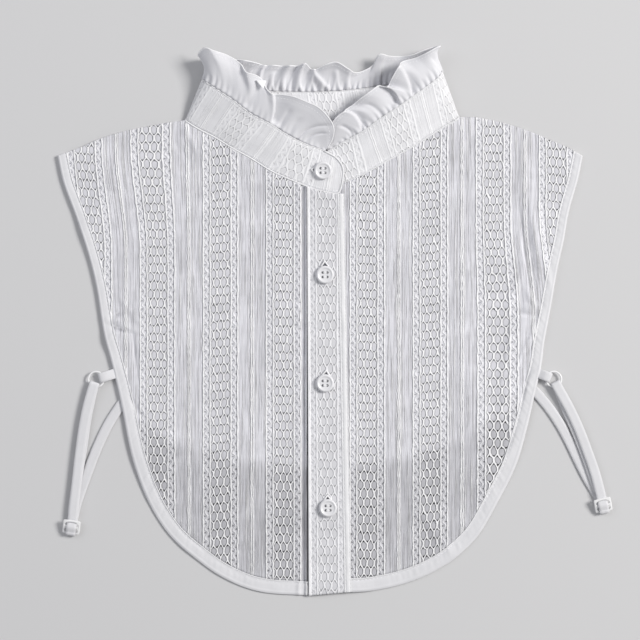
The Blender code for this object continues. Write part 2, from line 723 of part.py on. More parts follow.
def slider(name, place):
    """A flat slider with three bars and two slots."""
    half_width = SLIDER_WIDTH / 2
    half_height = SLIDER_HEIGHT / 2
    xs = [-half_width, SLIDER_BAR - half_width, half_width - SLIDER_BAR, half_width]
    ys = [
        -half_height, SLIDER_BAR - half_height, -SLIDER_BAR / 2,
        SLIDER_BAR / 2, half_height - SLIDER_BAR, half_height,
    ]
    shape = bmesh.new()
    verts = [[shape.verts.new((x * MM, y * MM, 0.0)) for x in xs] for y in ys]
    for row in range(len(ys) - 1):
        for column in range(len(xs) - 1):
            in_slot = column == 1 and row in (1, 3)
            if not in_slot:
                corners = (
                    verts[row][column], verts[row][column + 1],
                    verts[row + 1][column + 1], verts[row + 1][column],
                )
                shape.faces.new(corners)
    mesh = bpy.data.meshes.new(name)
    shape.to_mesh(mesh)
    shape.free()
    made = bpy.data.objects.new(name, mesh)
    bpy.context.collection.objects.link(made)
    made.data.materials.append(nylon)
    solid = made.modifiers.new("bar thickness", "SOLIDIFY")
    solid.thickness = SLIDER_BAR * MM
    solid.offset = 0.0
    rounded = made.modifiers.new("rounded bars", "BEVEL")
    rounded.width = 0.4 * MM
    rounded.segments = 1
    rounded.limit_method = "ANGLE"
    made.location = Vector((place.x, place.y, place.z)) * MM
    made.rotation_euler = (math.radians(SLIDER_SLOPE), 0.0, math.radians(place.turn))
    return made


def button_mesh():
    """A turned button with a raised rim, a shallow well and four holes."""
    radius = BUTTON_DIAMETER / 2
    floor = BUTTON_HEIGHT - BUTTON_WELL
    profile = [
        (0.0, 0.0), (BUTTON_FOOT_RADIUS, 0.0), (radius, BUTTON_WIDEST_AT),
        (BUTTON_TOP_RADIUS, BUTTON_HEIGHT), (radius - BUTTON_RIM, BUTTON_HEIGHT),
        (BUTTON_WELL_RADIUS, floor), (0.0, floor),
    ]
    shape = bmesh.new()
    verts = [shape.verts.new((x * MM, 0.0, z * MM)) for x, z in profile]
    edges = [shape.edges.new(pair) for pair in zip(verts, verts[1:])]
    bmesh.ops.spin(
        shape, geom=verts + edges, cent=(0, 0, 0), axis=(0, 0, 1),
        angle=2 * math.pi, steps=BUTTON_SEGMENTS, use_duplicate=False,
    )
    bmesh.ops.remove_doubles(shape, verts=shape.verts, dist=0.00001)
    bmesh.ops.recalc_face_normals(shape, faces=shape.faces)
    blank_mesh = bpy.data.meshes.new("button blank")
    shape.to_mesh(blank_mesh)
    shape.free()
    blank = bpy.data.objects.new("button blank", blank_mesh)
    bpy.context.collection.objects.link(blank)

    drills = bmesh.new()
    offset = BUTTON_HOLE_SPACING / 2
    for x in (-offset, offset):
        for y in (-offset, offset):
            bmesh.ops.create_cone(
                drills, cap_ends=True, segments=BUTTON_HOLE_SIDES,
                radius1=BUTTON_HOLE_DIAMETER / 2 * MM, radius2=BUTTON_HOLE_DIAMETER / 2 * MM,
                depth=3 * BUTTON_HEIGHT * MM, matrix=Matrix.Translation((x * MM, y * MM, 0.0)),
            )
    drill_mesh = bpy.data.meshes.new("button drills")
    drills.to_mesh(drill_mesh)
    drills.free()
    drill = bpy.data.objects.new("button drills", drill_mesh)
    bpy.context.collection.objects.link(drill)
    cut = blank.modifiers.new("holes", "BOOLEAN")
    cut.operation = "DIFFERENCE"
    cut.object = drill
    bpy.context.view_layer.update()
    scene_state = bpy.context.evaluated_depsgraph_get()
    finished = bpy.data.meshes.new_from_object(blank.evaluated_get(scene_state))
    finished.name = "button"
    bpy.data.objects.remove(blank)
    bpy.data.objects.remove(drill)
    finished.materials.clear()
    finished.materials.append(button_plastic)
    finished.shade_smooth()
    finished.set_sharp_from_angle(angle=math.radians(35))
    return finished


def button(place, mesh, height):
    """One button, just clear of the cloth under it."""
    middle = place.z
    if middle is None:
        middle = height(place.x, place.y) + PLACKET_RISE
    made = bpy.data.objects.new(place.name, mesh)
    bpy.context.collection.objects.link(made)
    made.location = Vector((place.x, place.y, middle + WALL / 2 + BUTTON_FOOT_GAP)) * MM
    made.rotation_euler = (math.radians(place.tilt), 0.0, 0.0)
    return made


for leftover in list(bpy.data.objects):
    bpy.data.objects.remove(leftover)

lace = material("striped lace cotton", CLOTH_WHITE, 0.85)
plain_cloth = material("plain cotton", CLOTH_WHITE, 0.85)
tape_cloth = material("binding cotton", BINDING_WHITE, 0.8)
elastic = material("woven elastic", BINDING_WHITE, 0.75)
nylon = material("white nylon", NYLON_WHITE, 0.35)
button_plastic = material("white button plastic", BUTTON_WHITE, 0.35)

back_hem = smooth_curve(vectors(BACK_HEM), HEM_STEPS)
neck_seam, top_seam = collar_curves()
over_neck = [p for p in neck_seam[:RIGHT_FOLD_ROW * STEPS_PER_STATION] if p.x < OVER_NECK_END_X]
under_neck = neck_seam[LEFT_FOLD_ROW * STEPS_PER_STATION:]
back_neck = neck_seam[BACK_FIRST_ROW * STEPS_PER_STATION:BACK_LAST_ROW * STEPS_PER_STATION + 1]


def right_front_height(x, y):
    """The over front, which climbs onto the placket's level beside it."""
    climb = PLACKET_RISE * eased((x - PLACKET_LEFT_TOP + PLACKET_CLIMB_FROM) / PLACKET_CLIMB_RUN)
    by_armhole = eased((x - ARMHOLE_EDGE_X) / CREASE_FADE_RUN)
    by_placket = eased((-PLACKET_RIGHT_FOOT - x) / CREASE_FADE_RUN)
    return front_height(x, y, over_neck) + climb + crease_height(x, y) * by_armhole * by_placket


def left_front_height(x, y):
    """The under front, plain and level beneath the placket."""
    by_placket = eased((x - PLACKET_RIGHT_FOOT) / CREASE_FADE_RUN)
    return front_height(x, y, under_neck) + crease_height(x, y) * by_placket


def placket_height(x, y):
    """The placket lies on the under front without its creases."""
    return front_height(x, y, over_neck)


back_pieces(back_neck)
right_side = Side("right", SHOULDER_RIGHT, over_neck, EDGE_RIGHT, PLACKET_LEFT_TOP - GAP)
left_side = Side("left", SHOULDER_LEFT, under_neck, EDGE_LEFT, UNDERLAP_EDGE)
front(right_side, right_front_height)
front(left_side, left_front_height)
placket(over_neck, placket_height)
collar_band(neck_seam, top_seam)
collar_ruffle(neck_seam, top_seam)
for side in (RIGHT_STRAP, LEFT_STRAP):
    strap(side)
    strap_stub(side)
    ring(side.side + "_strap_ring", side.ring)
    slider(side.side + "_strap_slider", side.slider)
shared_button = button_mesh()
for row in BUTTONS:
    button(row, shared_button, placket_height)
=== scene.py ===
import math
from collections import namedtuple

import bmesh
import bpy
from mathutils import Matrix, Vector, noise


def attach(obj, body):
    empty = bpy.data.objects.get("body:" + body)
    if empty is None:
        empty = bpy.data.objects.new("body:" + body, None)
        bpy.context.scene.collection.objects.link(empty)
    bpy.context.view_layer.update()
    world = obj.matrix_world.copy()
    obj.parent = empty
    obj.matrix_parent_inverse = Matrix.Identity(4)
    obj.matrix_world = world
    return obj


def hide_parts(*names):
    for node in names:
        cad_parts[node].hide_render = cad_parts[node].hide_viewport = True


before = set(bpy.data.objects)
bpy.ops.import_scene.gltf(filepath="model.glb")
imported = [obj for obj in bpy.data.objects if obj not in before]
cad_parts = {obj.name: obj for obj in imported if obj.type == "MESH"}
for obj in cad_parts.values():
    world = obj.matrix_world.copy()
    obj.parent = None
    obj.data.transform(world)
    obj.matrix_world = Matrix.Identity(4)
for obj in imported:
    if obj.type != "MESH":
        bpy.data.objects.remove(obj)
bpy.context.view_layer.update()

MM = 0.001

# Walls and levels, as in the solids
GAP = 0.3
EDGE_TUCK = 0.25
NECK_GAP = 0.6
BACK_LEVEL = 0.5
FRONT_LEVEL = 2.0
TABLE_LEVEL = 0.5
PLACKET_RISE = 1.5
CLOTH = 0.55
BOUND_EDGE = 0.9
# A lining value, in centimetres above the back's hem, that stands for cloth with another layer all over
DOUBLE_EVERYWHERE = 9.0

BINDING_AT_SHOULDER = 6.3
BINDING_AT_HEM = 9.2
BINDING_CROWN = 0.2
BINDING_WIDENS_FROM_Y = 40.0
BINDING_WIDENS_OVER = 150.0

NECK_REACH = 28.0
HEM_DROP_RUN = 40.0
HEM_CLEARANCE = 12.0
CREASE_FADE_RUN = 13.0
FINE_SCALE = 1.5
ARMHOLE_EDGE_X = -178.0

PLACKET_LEFT_TOP = -14.1
PLACKET_LEFT_FOOT = -13.0
PLACKET_RIGHT_TOP = 9.6
PLACKET_RIGHT_FOOT = 15.6
UNDERLAP_EDGE = -11.8
PLACKET_FOOT_LEFT_Y = -177.8
PLACKET_FOOT_RIGHT_Y = -175.3
PLACKET_CLIMB_FROM = 9.0
PLACKET_CLIMB_RUN = 8.0
PLACKET_NECK_X = 8.0
OVER_NECK_END_X = 6.5
TUCK_DEPTH = 1.7
TUCK_FROM_X = -19.0
TUCK_TO_X = -14.6
TUCK_FALL = 0.9
TUCK_CLIMB = 0.5
UNDERLAP_RISE = 0.85
UNDERLAP_RISE_RUN = 18.0

SIGHT_DISTANCE = 1608.0
SIGHT_MIDDLE_X = -5.4
SIGHT_MIDDLE_Y = 6.7
SIGHT_WIDTH = 428.8

GATHER_COUNT = 84
GATHER_DEPTH = 0.8
RUFFLE_ROOT_GAP = 0.45
RUFFLE_STAND = 0.45
RUFFLE_HEM_RISE = 0.35

# The lace stripe: one repeat across, one full period of its staggered cells along, a cell's width,
# and how far from the band's middle its cords lie, with the half width of each
REPEAT = 42.2
PERIOD = 11.6
CELL = 4.62
CORDS = ((7.0, 0.95), (11.5, 0.95), (20.5, 0.85))
CORD_TOP = 0.15
BRAID_MIDDLE = 9.3
BRAID_SWING = 0.85
# Where each part of it is nought and where it is full: distances in millimetres, then shares
CELLS_END = (6.6, 6.2)
STRAND_SIDE = (0.82, 0.3)
STRAND_SHADE = (1.5, 0.9)
BRAID_END = (1.75, 1.5)
BRAID_SIDE = (0.8, 0.25)
TICK_SIDE = (1.1, 1.7)
PLAIN_START = (12.0, 12.6)
CELL_POINTS = (1.35, 0.85)
BRAID_TURNS = (0.7, 1.0)
RIB_STREAKS = (0.5, 0.68)
FURROW_STREAKS = (0.46, 0.3)
HEM_SHADE_EDGE = (-0.16, 0.16)

# A range node's smooth ends
SOFT = {"interpolation_type": "SMOOTHSTEP"}

Point = namedtuple("Point", "x y")
Station = namedtuple("Station", "low_x low_y low_z high_x high_y high_z")
Fold = namedtuple("Fold", "along x y z")
Pleat = namedtuple("Pleat", "along lean before after height start end")
Crease = namedtuple("Crease", "x y angle length width height")
ButtonPlace = namedtuple("ButtonPlace", "node x y z tilt hole_turn hole_reach")
Sewn = namedtuple("Sewn", "x y z way_x way_y")
Stitch = namedtuple("Stitch", "pitch length radius lift")


def listed(kind, *values):
    """A table's rows, each under the names of its values."""
    return [kind(*row) for row in values]


# The outlines, read off the photograph
SHOULDER_RIGHT = listed(
    Point, (-180.9, 116.6), (-166.2, 121.9), (-154.1, 127.3), (-137.4, 132.7), (-111.2, 138), (-95.6, 140.3),
)
SHOULDER_LEFT = listed(
    Point, (170.2, 116.6), (160.8, 121.9), (148.1, 127.3), (135.3, 132.7), (119.3, 138), (101.2, 142),
    (88, 142.6),
)
EDGE_RIGHT = listed(
    Point, (-180.9, 116.6), (-176.9, 98.5), (-168.8, 76.4), (-160.8, 52.3), (-154.8, 28.1), (-150.1, -1.3),
    (-144.7, -22.1), (-138.3, -49.6), (-131.5, -83.8), (-122.6, -109.9), (-112.6, -128.6), (-101.8, -142),
    (-85.8, -155.4), (-72.7, -164.5), (-56.3, -172.2), (-39.5, -176.2), (-14.3, -177.6),
)
EDGE_LEFT = listed(
    Point, (170.2, 116.6), (166.8, 100.5), (160.8, 79.1), (157.5, 60.3), (152.8, 38.9), (148.7, 14.7),
    (144.7, -6.7), (142.4, -24.5), (138, -43.6), (133.3, -64.3), (126, -89.8), (114.6, -113.2), (101.2, -136.7),
    (85.8, -152.1), (70.4, -162.1), (52.3, -169.5), (32.2, -174.2), (15.7, -175.5), (-11.6, -175.9),
)
BACK_HEM = listed(
    Point, (-140.6, -38), (-139, -46.5), (-134, -54.5), (-117.3, -66.5), (-97, -78), (-63, -86.4), (-30, -91.6),
    (0, -92.6), (30, -89), (57, -83.1), (82.4, -74), (109.2, -61), (128, -51), (136.2, -43), (139.6, -34),
)
COLLAR = listed(
    Station, (9.6, 99.8, 5, 10.3, 105.9, 5.4), (8.6, 95.5, 4.8, 9, 110.9, 6), (6, 91.8, 4.6, 5, 115.6, 6.5),
    (-0.7, 92.9, 4.5, 0, 118.6, 6.9), (-8, 94.5, 4.4, -6, 121.3, 7.3), (-20.1, 99.2, 4.2, -15.4, 124.6, 8.2),
    (-36.9, 106.5, 3.9, -27.5, 130.7, 9.6), (-51.3, 115.4, 3.8, -38.9, 138, 11),
    (-64.3, 122.6, 3.8, -51.6, 144.7, 12), (-75.2, 129.3, 3.8, -63, 153.4, 12.6),
    (-85.8, 134.7, 3.8, -73.7, 160.5, 12.4), (-92.6, 138.8, 3.6, -80.6, 165, 11.4),
    (-95.1, 140.7, 2.3, -84.1, 168.2, 7.2), (-92.6, 141.9, 0.9, -81.4, 169, 3),
    (-75.7, 139.4, 0.7, -68.3, 164.2, 2), (-44.2, 136.7, 0.7, -44.2, 160, 2), (0, 135.3, 0.7, 0, 159.5, 2.4),
    (41.5, 137.3, 0.7, 38.2, 163.5, 2), (71.7, 140.6, 0.7, 64, 168.5, 2), (84.6, 143.6, 0.9, 74, 173.2, 3),
    (87.4, 143, 2.3, 76.7, 172.9, 7.2), (84.9, 140.6, 3.6, 74.2, 169.2, 11.4),
    (77.7, 136.7, 3.7, 67.4, 163.8, 12.6), (68.3, 130.7, 3.7, 57.6, 156.8, 12.8),
    (56.3, 123.3, 3.6, 45.6, 148.4, 12.2), (45.6, 117.2, 3.4, 34.8, 141.4, 11),
    (34.8, 111.2, 3.1, 22.8, 132.7, 9), (20.8, 103.2, 2.8, 11.4, 126.6, 6.6), (10.7, 99.2, 2.7, 1.3, 120.6, 5),
    (0, 95.1, 2.6, -7.4, 116.6, 4.6), (-12.1, 92.5, 2.6, -16.8, 113.9, 4.6),
)
RIGHT_FOLD_ROW = 12
BACK_FIRST_ROW = 13
BACK_LAST_ROW = 19
LEFT_FOLD_ROW = 20

RUFFLE = listed(
    Fold, (19, -0.2, 121.9, 8), (25, 3.2, 128.3, 11), (32, 4.2, 135.5, 14), (38, 1, 142, 16.5),
    (44, -5.7, 149.1, 18), (49, -14.4, 153.2, 19), (54, -22.8, 156.4, 19.6), (58, -30.6, 157.4, 19.4),
    (61.5, -36.8, 158, 18.2), (65, -41.2, 161.6, 16.8), (69, -43.8, 166.6, 16.6), (73.5, -48.3, 170.8, 18),
    (79, -55, 173, 19), (84.5, -58.8, 178.5, 15.5), (90.5, -66.5, 183.6, 15), (98, -76.5, 187.2, 18),
    (106, -83, 189.3, 17), (112, -87.4, 184.6, 11.5), (118, -84, 183.4, 6), (126, -74, 182.6, 3.4),
    (133, -64.3, 181.4, 6.5), (140, -54.9, 180.6, 9.5), (146.5, -46.6, 178.6, 6), (152.5, -41.9, 177.2, 3.6),
    (158.5, -36.5, 177.4, 7), (165, -30.8, 176.9, 5), (171, -25.2, 177.2, 7.8), (177, -19.8, 177, 5.2),
    (182, -14.9, 178.6, 8.8), (187.5, -11, 174.8, 4), (194, -6.4, 175.4, 7.6), (201, -0.7, 178.2, 10.8),
    (207, 6, 179.6, 11.6), (213, 13.1, 175.4, 8), (219, 18.4, 172.4, 4.4), (225, 25, 174.2, 3.6),
    (231, 30.6, 178, 4.6), (236.5, 34.2, 184.8, 10), (243, 41.5, 183.6, 6), (250, 49, 183.4, 4.2),
    (257, 56.6, 184.4, 7.4), (264, 63.6, 187.3, 9), (271, 70.6, 189.6, 9), (277, 75.2, 190.4, 13),
    (283, 73, 189.6, 17.5), (290, 66.4, 185.9, 17.5), (297, 58.6, 182.3, 14), (302, 52.2, 180.2, 14.5),
    (306.5, 47.6, 176.8, 20), (311.5, 43.2, 169.8, 17), (315.5, 39.4, 162.8, 12.5), (319.5, 34.4, 163, 18.6),
    (326, 28.6, 159.8, 17.6), (333.5, 21.4, 155, 14), (340.5, 15.6, 150, 10), (346, 11.8, 147, 14),
    (353, 6.6, 143.6, 12.5), (360, 2.2, 138.2, 9.5), (366, 0.8, 130.4, 7.5), (371.5, 1, 124.2, 6),
    (376.5, -2.4, 121.2, 5.2), (382, -7, 119, 4.9),
)

# The small corner that the left wave turns over
TURNED_TIP = listed(
    Fold, (0, -48.6, 167.6, 18.4), (0, -41.2, 167.2, 17.2), (0, -43.4, 161.6, 18.6),
)

# Pleats of the ruffle: a soft rise before the fold and a short fall after it
PLEATS = listed(
    Pleat, (33.8, -6.3, 0.6, 1.3, 0.9, -0.2, 0.85), (39.1, -6.1, 0.6, 1.4, 1, -0.2, 0.95),
    (47, -3, 2.6, 1.8, 0.7, -0.2, 0.6), (54, -2, 2.2, 1.6, 0.8, -0.2, 0.7), (60.3, 0.6, 6, 0.5, 2.8, 0, 1.4),
    (82.3, -10.8, 5, 1.4, 1.2, 0, 1.2), (97, -3, 6, 4, 0.7, 0, 1.2), (140, 0, 3, 1.2, 1.2, 0, 1.1),
    (150, -4, 2.6, 0.8, 1.4, 0, 1.2), (162.2, -9.6, 2.8, 0.6, 1.9, 0, 1.3), (169, -7, 2, 0.8, 1.1, -0.1, 0.8),
    (176.3, -5, 3, 0.8, 1.7, 0, 1.2), (187.8, -6.5, 3.6, 0.5, 2.6, 0, 1.4), (196, -6, 2.4, 1, 1, -0.1, 0.8),
    (207.3, -17, 4.4, 0.5, 2.8, 0, 1.4), (213, -6, 2.2, 1, 1.1, -0.1, 0.8), (220.2, -5, 3, 0.8, 1.5, 0, 1.2),
    (240, 0, 3, 1, 1.2, 0, 1.1), (262, 1, 3.6, 1.8, 0.9, -0.1, 0.9), (288, 2, 3, 1.4, 0.9, -0.1, 0.8),
    (315.6, -10.5, 5, 0.5, 3.2, 0, 1.4), (326.3, -7.4, 0.5, 7, 3.4, 0, 1.4), (340, -3, 2, 1.4, 0.8, -0.1, 0.8),
    (355.7, -9.6, 4.6, 0.5, 2.6, 0, 1.4), (363, -3, 1.6, 1, 0.9, -0.1, 0.8),
)

# The solids' broad creases, then the finer ones that lie on them
CREASES = listed(
    Crease, (-150, 88, 62, 34, 7, 1.1), (-139, -2, 28, 20, 6, 1.2), (-96, 20, 82, 60, 9, 0.8),
    (-58, -55, 96, 70, 10, 0.9), (-34, 40, 88, 46, 7, 0.8), (40, 10, 92, 80, 9, 0.8), (74, 70, 64, 40, 8, 1.1),
    (96, -40, 100, 60, 9, 1), (130, 4, 74, 30, 6, 1.5), (138, 74, 102, 40, 8, 1.3), (60, -110, 116, 40, 8, 0.8),
    (-80, -118, 60, 40, 8, 0.8),
)
FINE_CREASES = listed(
    Crease, (-137, -0.2, -18, 7, 1.3, -0.7), (-139, 3.6, -20, 8, 2, 0.7), (-140.8, 10.4, 25, 3, 1, -0.6),
    (-129.6, -14, 96, 13, 1.3, -0.7), (-127.5, -54, 119, 9, 1.6, -0.8), (139, 58, 98, 24, 3.2, 1.2),
    (131.5, 55, 98, 28, 1.2, -0.7), (145.5, 66, 97, 20, 1.2, -0.7), (131, 10.6, -6, 6, 1.6, -0.5),
    (134, 14.8, -10, 8, 2.4, 0.5), (137, 19, -58, 8, 1.8, 0.6), (118, -48, 70, 10, 3, 0.8),
    (131.2, -40, 78, 11, 1.2, -0.8), (118, -83, 66, 16, 1.2, -0.7), (-132, 12, -52, 12, 2, 0.4),
    (-92, 128, 118, 12, 2.4, 0.8), (-98, 120, 130, 10, 2.2, -0.5), (-70, 96, 70, 22, 3, 0.4),
    (-40, -120, 80, 26, 3, 0.4), (-108, -96, 52, 18, 2.6, 0.45), (126, 30, 70, 22, 2.6, 0.7),
    (134, -8, 64, 20, 2.2, 0.8), (140, -28, 40, 12, 2, 0.6), (120, -14, 80, 24, 2.4, 0.5),
    (131, -40, 24, 10, 2, 0.5), (146, 42, 100, 16, 2.4, 0.5), (92, 128, 64, 12, 2.4, 0.7),
    (100, 104, 78, 22, 3, 0.4), (70, -134, 130, 18, 2.8, 0.45), (30, 60, 95, 30, 3, 0.35),
    (112, -96, 58, 20, 2.6, 0.5),
)

BUTTONS = listed(
    ButtonPlace, ("collar_button", -3.4, 106.5, 5.75, 6, 86, 8),
    ("placket_button_top", -2, 36.9, None, 0, 2, 9.4), ("placket_button_middle", -2, -35.5, None, 0, -6, 8.8),
    ("placket_button_foot", 0, -118.9, None, 0, 3, 8.6),
)
# Where the straps' ends are sewn, and the way in under the binding
RIGHT_SEWN = listed(
    Sewn, (-143.9, -29.5, 0.7, 0.96, 0.3), (-139.3, -51, 0.5, 0.55, 0.83),
)
LEFT_SEWN = listed(
    Sewn, (142.6, -29.6, 0.7, -0.93, 0.37), (139.2, -41.7, 0.5, -0.65, 0.76),
)
SEWN_END_RADIUS = 4.4
SEWN_END_SLACK = 1.6
SEWN_END_REACH = 3.4
SEWN_END_TOP = 1.35

EDGE_STITCH = Stitch(2.6, 2.0, 0.2, 0.5)
PLACKET_STITCH = Stitch(2.6, 1.9, 0.18, 0.36)
FOLD_STITCH = Stitch(2.6, 2.0, 0.2, 0.28)
COLLAR_STITCH = Stitch(2.4, 1.7, 0.17, 0.3)
HEM_STITCH = Stitch(2.2, 1.5, 0.15, 0.26)

BUTTON_DIAMETER = 12.0
BUTTON_HEIGHT = 2.4
BUTTON_FOOT_RADIUS = 4.8
BUTTON_WIDEST_AT = 1.2
BUTTON_TOP_RADIUS = 5.3
BUTTON_RIM = 1.4
BUTTON_WELL = 0.7
BUTTON_WELL_RADIUS = 4.0
BUTTON_HOLE_DIAMETER = 1.8
BUTTON_HOLE_SPACING = 3.0
BUTTON_FOOT_GAP = 0.3
WALL = 1.0
SLIT_AT = 0.7
SLIT_HALF = 0.28
SLIT_WIDTH = 1.8
LIP_SPREAD = 2.7
LIP_RADIUS = 0.55

FLOOR_DEPTH = 0.3
LENS = 135
SENSOR = 36



def eased(share):
    """A share from 0 to 1 with soft ends."""
    share = min(1.0, max(0.0, share))
    return share * share * (3 - 2 * share)


def vectors(points):
    """Table rows as flat vectors."""
    return [Vector((p.x, p.y, 0.0)) for p in points]


def under_sight(x, y, z):
    """Where a raised place lies, when seen at x and y from above the garment's middle."""
    share = 1 - z / SIGHT_DISTANCE
    real_x = SIGHT_MIDDLE_X + (x - SIGHT_MIDDLE_X) * share
    real_y = SIGHT_MIDDLE_Y + (y - SIGHT_MIDDLE_Y) * share
    return Vector((real_x, real_y, z))


def smooth_curve(points, steps):
    """A smooth curve through the points, with the given number of steps between each two."""
    ends = [2 * points[0] - points[1], *points, 2 * points[-1] - points[-2]]
    curve = []
    for before, start, end, after in zip(ends, ends[1:], ends[2:], ends[3:]):
        for step in range(steps):
            t = step / steps
            bend = 2 * before - 5 * start + 4 * end - after
            twist = 3 * start - before - 3 * end + after
            curve.append(start + 0.5 * ((end - before) * t + bend * t * t + twist * t * t * t))
    curve.append(points[-1].copy())
    return curve


class Line:
    """A curve that gives the point at a distance along it."""

    def __init__(self, points, marks=None):
        self.points = points
        self.marks = marks or [0.0]
        if not marks:
            for start, end in zip(points, points[1:]):
                self.marks.append(self.marks[-1] + (end - start).length)
        self.length = self.marks[-1]

    def at(self, distance):
        index = 1
        while index < len(self.marks) - 1 and self.marks[index] < distance:
            index += 1
        span = max(self.marks[index] - self.marks[index - 1], 1e-9)
        share = (distance - self.marks[index - 1]) / span
        return self.points[index - 1].lerp(self.points[index], share)

    def share(self, share):
        return self.at(self.length * share)


def height_at(curve, x):
    """The y at which a curve that runs along X, already in order, passes a given x."""
    for start, end in zip(curve, curve[1:]):
        if x <= end.x:
            share = (x - start.x) / max(end.x - start.x, 1e-9)
            return start.y + (end.y - start.y) * max(0.0, share)
    return curve[-1].y


def in_order(curve):
    """A curve's points in order of x."""
    return sorted(curve, key=lambda point: point.x)


def crease_height(x, y, creases):
    """The height that creases add at a place."""
    total = 0.0
    for crease in creases:
        turn = math.radians(crease.angle)
        along = (x - crease.x) * math.cos(turn) + (y - crease.y) * math.sin(turn)
        across = (y - crease.y) * math.cos(turn) - (x - crease.x) * math.sin(turn)
        total += crease.height * math.exp(-(along / crease.length) ** 2 - (across / crease.width) ** 2)
    return total


def ripple(x, y):
    """The slight unevenness of pressed cotton."""
    broad = noise.noise(Vector((x / 17.0, y / 34.0, 1.7)))
    return 0.16 * broad + 0.07 * noise.noise(Vector((x / 6.0, y / 13.0, 8.2)))


back_hem = in_order(smooth_curve(vectors(BACK_HEM), 6))
neck_seam = smooth_curve([under_sight(s.low_x, s.low_y, s.low_z) for s in COLLAR], 6)
top_seam = smooth_curve([under_sight(s.high_x, s.high_y, s.high_z) for s in COLLAR], 6)
over_neck = [p for p in neck_seam[:RIGHT_FOLD_ROW * 6] if p.x < OVER_NECK_END_X]
under_neck = neck_seam[LEFT_FOLD_ROW * 6:]
back_neck = neck_seam[BACK_FIRST_ROW * 6:BACK_LAST_ROW * 6 + 1]
ordered_over_neck = in_order(over_neck)


def front_height(x, y, neck):
    """The middle of the front's wall: on the back, on the table past its hem, lifted by the collar."""
    past_hem = 0.0
    if y < height_at(back_hem, x):
        past_hem = min(math.hypot(point.x - x, point.y - y) for point in back_hem)
    drop = eased((past_hem - HEM_CLEARANCE) / HEM_DROP_RUN)
    level = FRONT_LEVEL + (TABLE_LEVEL - FRONT_LEVEL) * drop
    nearest = min(neck, key=lambda point: (point.x - x) ** 2 + (point.y - y) ** 2)
    distance = math.hypot(nearest.x - x, nearest.y - y)
    return level + (nearest.z - FRONT_LEVEL) * eased(1 - distance / NECK_REACH)


def right_front_height(x, y):
    """The over front, which climbs onto the placket's level and dips into the tuck beside it."""
    climb = PLACKET_RISE * eased((x - PLACKET_LEFT_TOP + PLACKET_CLIMB_FROM) / PLACKET_CLIMB_RUN)
    by_armhole = eased((x - ARMHOLE_EDGE_X) / CREASE_FADE_RUN)
    by_placket = eased((-PLACKET_RIGHT_FOOT - x) / CREASE_FADE_RUN)
    creases = crease_height(x, y, CREASES) + FINE_SCALE * crease_height(x, y, FINE_CREASES)
    tuck = TUCK_DEPTH * eased((x - TUCK_FROM_X) / TUCK_FALL) * eased((TUCK_TO_X - x) / TUCK_CLIMB)
    return front_height(x, y, over_neck) + climb - tuck + (creases + ripple(x, y)) * by_armhole * by_placket


def left_front_height(x, y):
    """The under front, plain and level beneath the placket."""
    by_placket = eased((x - PLACKET_RIGHT_FOOT) / CREASE_FADE_RUN)
    creases = crease_height(x, y, CREASES) + FINE_SCALE * crease_height(x, y, FINE_CREASES)
    propped = UNDERLAP_RISE * eased(1 - abs(x - PLACKET_RIGHT_FOOT) / UNDERLAP_RISE_RUN)
    return front_height(x, y, under_neck) + propped + (creases + ripple(x, y)) * by_placket


def binding_width(y):
    """The binding's width: narrow at the shoulder, wider by the hem."""
    share = eased((BINDING_WIDENS_FROM_Y - y) / BINDING_WIDENS_OVER)
    return BINDING_AT_SHOULDER + (BINDING_AT_HEM - BINDING_AT_SHOULDER) * share


def moved_in(curve, share, extra, first_way, last_way):
    """A flat edge moved in by a share of the binding's width and an extra; an end may be mitred."""
    inner = []
    for index, point in enumerate(curve):
        ahead = curve[min(index + 1, len(curve) - 1)]
        behind = curve[max(index - 1, 0)]
        along = (ahead - behind).normalized()
        inward = Vector((-along.y, along.x, 0.0))
        if inward.dot(point) > 0:
            inward.negate()
        way = inward
        if index == 0 and first_way:
            way = first_way
        if index == len(curve) - 1 and last_way:
            way = last_way
        inner.append(point + way * (binding_width(point.y) * share + extra) / way.dot(inward))
    return inner


def shoulder_way(shoulder):
    """The way along a shoulder seam from its tip towards the neck."""
    tip, following = vectors(shoulder[:2])
    return (following - tip).normalized()


def above_back_hem(point):
    """How far above the back's hem a point of the front lies, in centimetres."""
    return (point.y - height_at(back_hem, point.x)) / 10


def lean(x, y):
    """How far the stripes lean out by the right shoulder and the left armhole, where the cloth was pulled."""
    by_right = -6.6 * eased((-78.0 - x) / 60.0) * eased((y - 52.0) / 72.0)
    by_left = 6.2 * eased((x - 85.0) / 60.0) * eased((80.0 - y) / 70.0)
    return by_right + by_left


def stripes(x, y):
    """A body panel's place in the lace stripe: across in repeats, along in periods."""
    middle = -29.8 if x < -12.0 else 26.2
    rows = 2.6 * math.sin(x / 23.0)
    return ((x - lean(x, y) - middle) / REPEAT, (y + rows) / PERIOD)


def srgb(code, alpha=1.0):
    """A linear colour from a hex code."""
    parts = [int(code[index:index + 2], 16) / 255 for index in (1, 3, 5)]
    return (*[c / 12.92 if c <= 0.04045 else ((c + 0.055) / 1.055) ** 2.4 for c in parts], alpha)


def add(tree, kind, inputs=(), out=0, **settings):
    """Adds a node of a kind, or a math node of an operation; its inputs are values or other nodes' sockets."""
    made = tree.nodes.new("ShaderNode" + ("Math" if kind.isupper() else kind))
    if kind.isupper():
        made.operation = kind
    for key, value in settings.items():
        setattr(made, key, value)
    for key, value in inputs.items() if isinstance(inputs, dict) else enumerate(inputs):
        if isinstance(value, bpy.types.NodeSocket):
            tree.links.new(value, made.inputs[key])
        else:
            made.inputs[key].default_value = value
    return made.outputs[out]


def chain(tree, value, *steps):
    """Sends a value through nodes, one after another: a step is a node's kind and its other inputs."""
    for kind, *others in steps:
        value = add(tree, kind, (value, *others))
    return value


